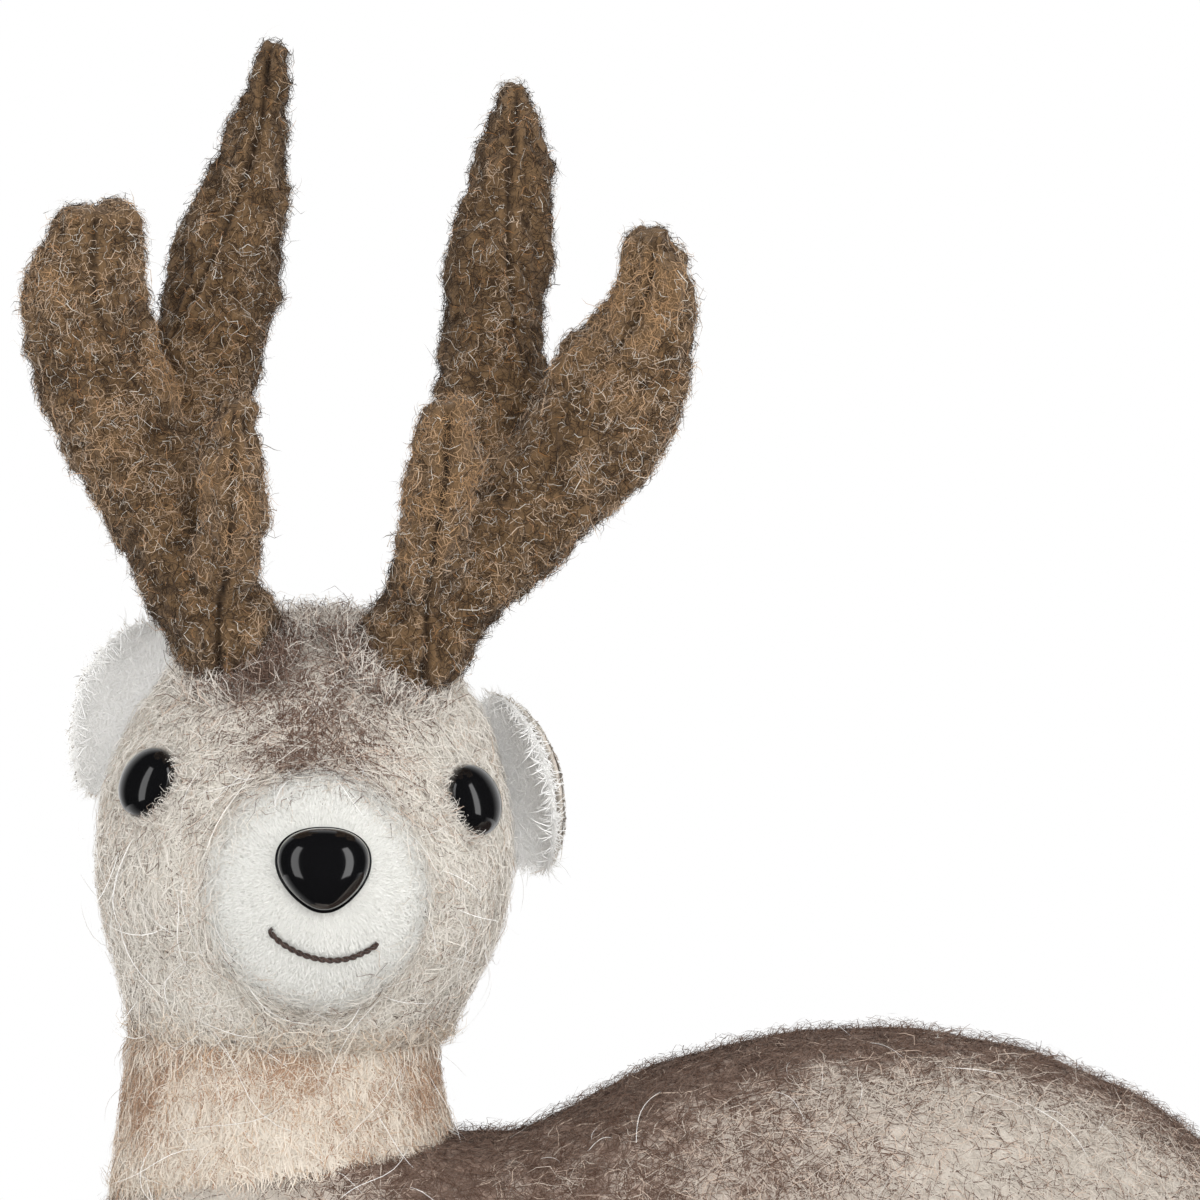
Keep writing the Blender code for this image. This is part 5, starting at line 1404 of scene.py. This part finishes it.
def makeEye(side):
    # A rounded rim and half an ellipse turned round the eye's own axis.
    place, normal = eyePlaces[side]
    size, soft, rim = eyes["radius"], eyes["soft"], eyes["rim"]
    a, edge = np.linspace(0, math.pi / 2, 26)[:-1], np.linspace(0, math.pi / 2, 6)[:-1]
    radius = np.concatenate([size - soft + soft * np.sin(edge), size * np.cos(a)])
    height = np.concatenate([soft - soft * np.cos(edge), rim + (eyes["dome"] - rim) * np.sin(a)])
    seat = place + normal * eyes["stand"]
    rings = seat + turned(radius, height, 96) @ aimFrame(normal).T
    return closedForm(side + "Eye", rings, seat, seat + normal * eyes["dome"])


nose = {"width": 0.0172, "height": 0.0156, "dome": 0.0068, "flange": 0.38 * mm, "groove": 0.1 * mm,
        "fullness": 2.25, "taper": 0.34, "taperPower": 1.7, "widest": 0.20, "rise": 0.19, "stand": 0.6 * mm}


def makeNose():
    # A rounded triangle: a superellipse whose lower half narrows with its depth. A thin flange, then a dome
    # whose size is cos(a) and height sin(a).
    place, normal = (value[0] for value in muzzleSpot(np.array([1e-4]), np.array([nose["rise"]])))
    c, s = unitRing(allRound(120), nose["fullness"])
    narrow = np.where(s > 0, 1.0, 1.0 - nose["taper"] * np.abs(s) ** nose["taperPower"])
    s = s * np.where(s > 0, 1 - nose["widest"], 1 + nose["widest"]) + nose["widest"]
    flange, dome = nose["flange"], nose["dome"]
    edge, a = np.linspace(0, math.pi, 9), np.linspace(0.05, math.pi / 2, 23)[:-1]
    grow = np.concatenate([flange * (0.6 + 0.4 * np.sin(edge)), [nose["groove"], 0.0], 0 * a])[:, None]
    height = np.concatenate([flange / 2 - flange / 2 * np.cos(edge), [flange * 1.02, flange * 1.2],
                             flange * 1.2 + (dome - flange * 1.2) * np.sin(a)])
    size = np.concatenate([np.ones(11), np.cos(a)])[:, None]
    x = (nose["width"] / 2 + grow) * c * narrow * size
    y = (nose["height"] / 2 + grow) * s * size
    z = np.repeat(height[:, None], 120, 1)
    seat = place + normal * nose["stand"]
    rings = seat + np.stack([x, y, z], axis=2) @ aimFrame(normal).T
    return closedForm("noseButton", rings, seat, seat + normal * dome)


mouth = {"ply": 0.31 * mm, "twist": 0.27 * mm, "pitch": 3.0 * mm, "stand": 1.0 * mm, "steps": 170,
         "line": ((-0.455, -0.295), (-0.34, -0.395), (-0.16, -0.485), (0.03, -0.53), (0.20, -0.525),
                  (0.36, -0.475), (0.485, -0.41))}
mouthLine = curveThrough(numbered(mouth["line"]), np.linspace(0, 6, mouth["steps"]))
mouthPlace, mouthNormal = muzzleSpot(*mouthLine.T)


def makeMouth():
    # Two plies wound round the smile line: each is offset by cos and sin of its turn, one turn to a pitch.
    ends = 1 - ease(np.linspace(-1, 1, mouth["steps"]) ** 2, 0.93, 1.0)
    path = mouthPlace + mouthNormal * (mouth["stand"] * (1.8 * ends - 0.8))[:, None]
    aside = unit(np.cross(mouthNormal, unit(np.gradient(path, axis=0))))
    length = np.concatenate([[0], np.cumsum(np.linalg.norm(np.diff(path, axis=0), axis=1))])
    radii = np.full((mouth["steps"], 2), mouth["ply"])
    plies = []
    for start in (0.0, math.pi):
        turn = (length / mouth["pitch"] * math.tau + start)[:, None]
        line = path + mouth["twist"] * (aside * np.cos(turn) + mouthNormal * np.sin(turn))
        plies.append(closedForm("mouthYarn", *sweepRings(line, radii, 12, (0.6, 0.6))))
    return join(plies)


def shortAtMouth(points, normals):
    # Shorter pile close to the stitch.
    away = np.sqrt(((points[:, None] - (mouthPlace[None, ::6] + neckFoot)) ** 2).sum(2).min(1))
    least, more = lay["mouthShort"]
    return least + more * ease(away, *lay["mouthNear"])


def noisyMaterial(name, scale, detail, low, high, least, most, **shaderValues):
    # One colour whose roughness follows a noise.
    made, tree, shader = newMaterial(name, **shaderValues)
    grain = noiseAt(tree, objectPlace(tree), scale, detail)
    tree.links.new(remapped(tree, grain, low, high, least, most), shader.inputs["Roughness"])
    return made


def yarnMaterial():
    # Hairs of two browns, with their noise as a relief.
    settings = {"Roughness": 0.8, "Sheen Weight": 0.3, "Specular IOR Level": 0.25}
    made, tree, shader = newMaterial("darkYarn", **settings)
    hairs = noiseAt(tree, objectPlace(tree), 2600.0)
    dark, pale = (0.016, 0.009, 0.007, 1), (0.075, 0.045, 0.035, 1)
    colour = mixed(tree, remapped(tree, hairs, 0.35, 0.65), dark, pale)
    tree.links.new(colour, shader.inputs["Base Color"])
    addBump(tree, shader, hairs, 0.6, 0.2 * mm)
    return made


print("eyes, nose and mouth")
blackGloss = noisyMaterial("blackGloss", 300.0, 4.0, 0.35, 0.7, 0.05, 0.12, **{
    "Base Color": (0.004, 0.004, 0.0045, 1), "Specular IOR Level": 0.3, "Coat Weight": 0.7,
    "Coat Roughness": 0.11})
washerPlastic = noisyMaterial("washerPlastic", 900.0, 3.0, 0.3, 0.7, 0.4, 0.6,
                              **{"Base Color": (0.75, 0.75, 0.72, 1)})
steelWire = noisyMaterial("steelWire", 1500.0, 3.0, 0.3, 0.7, 0.25, 0.45,
                          **{"Base Color": (0.45, 0.45, 0.45, 1), "Metallic": 1.0})
eyePieces = {side: dress(makeEye(side), blackGloss) for side in sides}
noseButton = dress(makeNose(), blackGloss)
mouthYarn = dress(makeMouth(), yarnMaterial())
for node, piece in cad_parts.items():
    if "washer" in node:
        dress(piece, washerPlastic)
    if "wire" in node:
        dress(piece, steelWire)

print("fibres")
# Length, width, lift and base are in millimetres; rows is the number of parts along a fibre.
wool = {"length": 6.5, "width": 0.22, "rows": 3, "stray": 0.75, "uneven": 0.35, "bend": 0.8, "curl": 0.6,
        "turns": 1.0, "lift": 0.32, "rise": 1.5, "arch": 0.4, "base": 0.14, "roll": 0.28, "onTable": False}
curls = dict(wool, length=7.0, width=0.145, stray=1.1, bend=1.3, curl=1.3, turns=1.2, lift=0.6, arch=0.7,
             base=0.3, roll=0.5)
pile = dict(wool, length=1.3, width=0.13, rows=2, stray=0.45, bend=0.3, curl=0.2, lift=0.42, rise=0.9,
            arch=0.1, base=0.08, roll=0.3, uneven=0.25)
longHair = dict(wool, length=15, width=0.115, rows=8, stray=1.2, bend=0.7, curl=0.3, turns=0.8, lift=2.2,
                rise=1.2, arch=0.5, base=0.6, roll=0.8, uneven=0.4)
fuzz = dict(wool, length=3.8, width=0.15, stray=2.0, bend=1.3, curl=1.3, lift=0.35, arch=0.5, base=0.15,
            roll=0.5)
fibrePieces = []


def cover(ground, bodyName, slotName, *layers):
    # A piece of fibres for each layer: its name, look, flow and material, then any density and trim.
    for name, look, flow, material, *limits in layers:
        piece = dress(growFibres(name, ground, look, flow, *limits), fibreMaterials[material])
        fibrePieces.append((piece, bodyName, slotName))


headGround = faceGround()
cover(headGround, "head", "cream_fur",
      ("headWool", dict(wool, count=36000, seed=101), crownFlow, "coatFibre", underHead),
      ("headCurls", dict(curls, count=25000, width=0.115, stray=1.6, lift=0.75, seed=102),
       crownFlow, "coatCurl", underHead),
      ("headHairs", dict(longHair, count=230, seed=103), crownFlow, "longHair", clearOfRoots),
      ("chinFringe", dict(curls, count=9000, length=7.5, lift=1.3, stray=0.9, seed=104),
       downFlow, "neckFibre", chinEdge),
      ("crownTuft", dict(curls, count=1200, length=5.0, lift=2.0, stray=1.6, uneven=0.5, seed=106),
       crownFlow, "coatCurl", crownTop))
for side in sides:
    cover(headGround, "head", "cream_fur",
          (side + "RootFringe", dict(curls, count=1500, length=6.5, stray=0.7, lift=2.6, rise=1.0, seed=107),
           toRoot(side), "coatCurl", rootEdge(side)),
          (side + "EyeFringe", dict(curls, count=420, rows=4, length=3.6, width=0.10, stray=0.8, arch=2.2,
                                    seed=105), toEye(side), "coatCurl", eyeEdge(side)))
cover(groundOf(neckCloth, neckBrown), "neck", "cream_fur",
      ("throatWool", dict(wool, count=18000, stray=0.35, length=7, seed=112), downFlow, "neckFibre", throat),
      ("throatCurls", dict(curls, count=9500, width=0.12, seed=113), downFlow, "neckFibre", throat),
      ("napeWool", dict(wool, count=10000, width=0.30, length=7, seed=114), downFlow, "coatFibre", nape),
      ("neckHairs", dict(longHair, count=130, seed=106), downFlow, "longHair"))
bodyWool, bodyCurls = dict(wool, stray=1.3, onTable=True), dict(curls, onTable=True)
cover(groundOf(bodyCloth, bodyBrown), "body", "cream_fur",
      ("flankWool", dict(bodyWool, count=36000, width=0.17, length=6, seed=107),
       backFlow, "bodyFibre", facing),
      ("flankCurls", dict(bodyCurls, count=22000, length=5.5, width=0.11, stray=2.0, lift=1.1, seed=108),
       backFlow, "bodyCurl", facing),
      ("backWool", dict(bodyWool, count=12000, width=0.34, length=7, seed=109),
       backFlow, "bodyFibre", behind),
      ("backCurls", dict(bodyCurls, count=7000, length=6.5, width=0.18, stray=1.8, seed=110),
       backFlow, "bodyCurl", behind),
      ("bodyHairs", dict(longHair, count=260, width=0.10, length=12, lift=1.4, onTable=True, seed=111),
       backFlow, "longHair"))
furredLimbs = [name for name in limbs if "Hoof" not in name]
for number, name in enumerate(furredLimbs):
    count, flow = (6000, backFlow) if "Haunch" in name else (3000, downFlow)
    look = dict(wool, count=count, width=0.30, onTable=True, seed=120 + number)
    cover(groundOf(limbs[name], limbBrown), "body", "cream_fur", (name + "Wool", look, flow, "bodyFibre"))
cover(groundOf(tailCloth, tailBrown), "tail", "cream_fur",
      ("tailWool", dict(wool, count=4000, lift=1.6, length=8, seed=130), tailFlow, "coatFibre"))
cover(headGround, "head", "white_pile",
      ("muzzleFibres", dict(pile, count=36000, width=0.17, seed=131),
       noseFlow, "pileFibre", whiteShare, shortAtMouth),
      ("muzzleFringe", dict(wool, count=8000, length=4.6, width=0.10, stray=0.7, uneven=0.5, lift=0.5,
                            seed=134), noseFlow, "pileFibre", patchEdge))
for side in sides:
    cover(groundOf(earLayers[side + "EarLining"]), side + "_ear", "white_pile",
          (side + "EarPile", dict(pile, count=9000, rows=3, length=3.4, width=0.17, lift=0.45, stray=1.2,
                                  bend=1.2, seed=132), downFlow, "earFibre", earFront(side)))
    cover(groundOf(earLayers[side + "EarBack"], earBrown), side + "_ear", "cream_fur",
          (side + "EarWool", dict(wool, count=3600, width=0.28, length=3.6, seed=133),
           downFlow, "coatFibre", earRear(side)))
    offSeam, shortAtSeam = besideSeam(side, 1.0 * mm, 0.05), besideSeam(side, 3.2 * mm, 0.4)
    # The felt's brown share carries painted shade and light as well as its patches.
    cover(groundOf(antlerFelt[side], feltBrownAndShade), side + "_antler", "antler_felt",
          (side + "AntlerFibres", dict(fuzz, count=23500, width=0.135, lift=0.6, seed=140),
           anyFlow, "antlerFibre", offSeam, shortAtSeam),
          (side + "AntlerCurls", dict(fuzz, count=4200, rows=4, length=4.0, width=0.075, lift=0.9, curl=1.1,
                                      seed=141), anyFlow, "antlerCurls", offSeam, shortAtSeam))

for piece in (bodyCloth, headCloth, tailCloth, *(limbs[name] for name in furredLimbs)):
    dress(piece, coatCloth)
dress(neckCloth, neckClothLook)
dress(muzzlePile, pileCloth)
for side in sides:
    felt = dress(antlerFelt[side], antlerCloth).data
    # The felt's cloth is dark along the sewing line only: the brown thread, with painted shade of its groove.
    felt.attributes.remove(felt.attributes["brown"])
    setShare(felt, "brown", antlerSeam[side])
    dress(earLayers[side + "EarLining"], earCloth)
    dress(earLayers[side + "EarBack"], coatCloth)
    for pair in ("Fore", "Hind"):
        dress(limbs[side + pair + "Hoof"], hoofCloth)


def attach(piece, bodyName):
    # The neck's transform goes into its mesh and it rides no body; anything else rides one body.
    if bodyName == "neck":
        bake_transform(piece)
    else:
        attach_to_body(piece, bodyName)


for piece, bodyName, slotName in fibrePieces:
    attach(piece, bodyName)
padded = [(bodyCloth, "body", "cream_fur", 0.8, ("body_cover", "body_stuffing")),
          (neckCloth, "neck", "cream_fur", 0.85, ("neck_cover", "neck_stuffing")),
          (headCloth, "head", "cream_fur", 0.9, ("head_cover", "head_stuffing")),
          (muzzlePile, "head", "white_pile", 0.8, ("muzzle_cover", "muzzle_stuffing")),
          (tailCloth, "tail", "cream_fur", 0.5, ("tail",))]
cadNames = {"Shoulder": "_shoulder", "Haunch": "_haunch", "ForeShank": "_fore_shank",
            "HindShank": "_hind_shank", "ForeHoof": "_fore_hoof", "HindHoof": "_hind_hoof"}
for side in sides:
    for part, node in cadNames.items():
        padded.append((limbs[side + part], "body", "hoof_felt" if "Hoof" in part else "cream_fur", 0.7,
                       (side + node,)))
    padded.append((earLayers[side + "EarLining"], side + "_ear", "white_pile", 0.3, (side + "_ear_lining",)))
    padded.append((earLayers[side + "EarBack"], side + "_ear", "cream_fur", 0.3, (side + "_ear_back",)))
    padded.append((antlerFelt[side], side + "_antler", "antler_felt", 0.7,
                   (side + "_antler_outer_panel", side + "_antler_inner_panel")))
for piece, bodyName, slotName, fill, nodes in padded:
    attach(piece, bodyName)
    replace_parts(piece, *nodes)
for side in sides:
    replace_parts(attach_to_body(eyePieces[side], "head"), side + "_eye")
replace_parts(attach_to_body(noseButton, "head"), "nose")
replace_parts(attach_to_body(mouthYarn, "head"), "mouth_stitch")

studio = {
    "lens": 251.0, "distance": 1.58, "aim": (-0.0236, 0.0, 0.201), "facePlane": -0.03, "world": 0.80,
    "dark": 0.01, "floor": 0.5, "glow": (0.22, 0.42), "low": 0.15,
    # size, power, turn from the front to the right, how far away and how high
    "leftStrip": ((0.42, 2.2), 6.0, math.radians(-58), 1.2, 0.58),
    "rightStrip": ((0.42, 2.2), 8.0, math.radians(58), 1.2, 0.58),
    "topPanel": ((1.2, 1.2), 3.4, 0.0, 0.3, 1.5),
    "frontPanel": ((1.6, 1.2), 18.0, math.radians(9), 1.9, 0.45),
}


def emission(tree, strength):
    # White light of this strength.
    return addNode(tree, "ShaderNodeEmission", {"Color": (1, 1, 1, 1), "Strength": strength}).outputs[0]


def mixShaders(tree, share, first, second):
    # Two shaders mixed by a share.
    return addNode(tree, "ShaderNodeMixShader", {0: share, 1: first, 2: second}).outputs[0]


def floorMaterial():
    # Pale and plain near the toy. Further out it turns into the white of the background, for rays that see
    # it from the camera, through glass or in a mirror that faces away; a mirror that faces the viewer sees
    # a dark room.
    made, tree, shader = newMaterial("paleFloor", **{"Base Color": (0.93, 0.93, 0.93, 1), "Roughness": 0.9,
                                                     "Specular IOR Level": 0.1})
    place = objectPlace(tree)
    away = addNode(tree, "ShaderNodeVectorMath", {0: place}, operation="LENGTH").outputs["Value"]
    far = addNode(tree, "ShaderNodeMapRange", {0: away, 1: studio["glow"][0], 2: studio["glow"][1]},
                  interpolation_type="SMOOTHSTEP").outputs[0]
    light = tree.nodes.new("ShaderNodeLightPath").outputs
    depth = addNode(tree, "ShaderNodeSeparateXYZ", {0: place}).outputs["Y"]
    mirrored = maths(tree, "MULTIPLY", light["Is Glossy Ray"], remapped(tree, depth, -0.05, 0.15))
    direct = maths(tree, "MAXIMUM", light["Is Camera Ray"], mirrored)
    seen = maths(tree, "MAXIMUM", direct, light["Is Transmission Ray"])
    both = mixShaders(tree, maths(tree, "MULTIPLY", far, seen), shader.outputs[0], emission(tree, 1.0))
    before = maths(tree, "MULTIPLY", light["Is Glossy Ray"], remapped(tree, depth, 0.15, -0.05))
    surface = mixShaders(tree, before, both, emission(tree, studio["dark"]))
    tree.links.new(surface, tree.nodes["Material Output"].inputs["Surface"])
    return made


def makeStage():
    # A white disc: rings of quads round one face in the middle.
    radius = np.array([0.1, 0.25, 0.5, 0.75, 1.0]) * studio["floor"]
    points = turned(radius, 0 * radius, 96)
    corners = np.arange(5 * 96).reshape(5, 96)
    nextOne = np.roll(corners, -1, 1)
    quads = np.stack([corners[:-1], corners[1:], nextOne[1:], nextOne[:-1]], axis=2).reshape(-1)
    mesh = buildMesh("floor", points.reshape(-1, 3), np.concatenate([quads, corners[0]]),
                     np.concatenate([np.full(4 * 96, 4), [96]]))
    floor = dress(addPiece("floor", mesh), floorMaterial())


def addLamp(name, aimHeight):
    # A rectangular lamp on a circle round the aim, turned to it.
    size, power, turn, away, height = studio[name]
    lamp = bpy.data.lights.new(name, "AREA")
    lamp.shape = "RECTANGLE"
    lamp.size, lamp.size_y = size
    lamp.energy = power
    made = bpy.data.objects.new(name, lamp)
    x = studio["aim"][0]
    made.location = (x + away * math.sin(turn), -away * math.cos(turn), height)
    made.rotation_euler = (Vector((x, 0, aimHeight)) - made.location).to_track_quat("-Z", "Y").to_euler()
    scene.collection.objects.link(made)
    return made


def lightWorld():
    # White to the camera, a plain level as light, and in mirrors a dark room in front and white behind.
    world = bpy.data.worlds.new("studioWorld")
    world.use_nodes = True
    scene.world = world
    tree = world.node_tree
    ground = tree.nodes["Background"]
    ground.inputs["Color"].default_value = (1, 1, 1, 1)
    light = tree.nodes.new("ShaderNodeLightPath").outputs
    heading = tree.nodes.new("ShaderNodeTexCoord").outputs["Generated"]
    depth = addNode(tree, "ShaderNodeSeparateXYZ", {0: heading}).outputs["Y"]
    room = remapped(tree, depth, 0.4, 0.95, studio["dark"], 1.0)
    glossy, plain = light["Is Glossy Ray"], studio["world"]
    level = addNode(tree, "ShaderNodeMix", {0: glossy, 2: plain, 3: room}).outputs[0]
    direct = maths(tree, "MAXIMUM", light["Is Camera Ray"], light["Is Transmission Ray"])
    level = maths(tree, "MAXIMUM", level, direct)
    tree.links.new(level, ground.inputs["Strength"])


def placeCamera():
    # Level, in front of the face's plane.
    camera = bpy.data.cameras.new("camera")
    camera.lens = studio["lens"]
    camera.sensor_width = 36.0
    camera.clip_end = 20.0
    made = bpy.data.objects.new("camera", camera)
    x, y, z = studio["aim"]
    made.location = (x, studio["facePlane"] - studio["distance"], z)
    made.rotation_euler = (math.pi / 2, 0, 0)
    scene.collection.objects.link(made)
    scene.camera = made


print("stage, lamps and camera")
makeStage()
for name in ("leftStrip", "rightStrip"):
    addLamp(name, studio[name][-1])
# Only the two strips show in the eyes and the nose.
for name in ("topPanel", "frontPanel"):
    addLamp(name, studio["low"]).visible_glossy = False
lightWorld()
placeCamera()
scene.view_settings.view_transform = "Standard"
meshes = [piece.data for piece in bpy.data.objects if piece.type == "MESH"]
print("triangles", sum(len(mesh.loops) - 2 * len(mesh.polygons) for mesh in meshes))
bpy.context.view_layer.update()
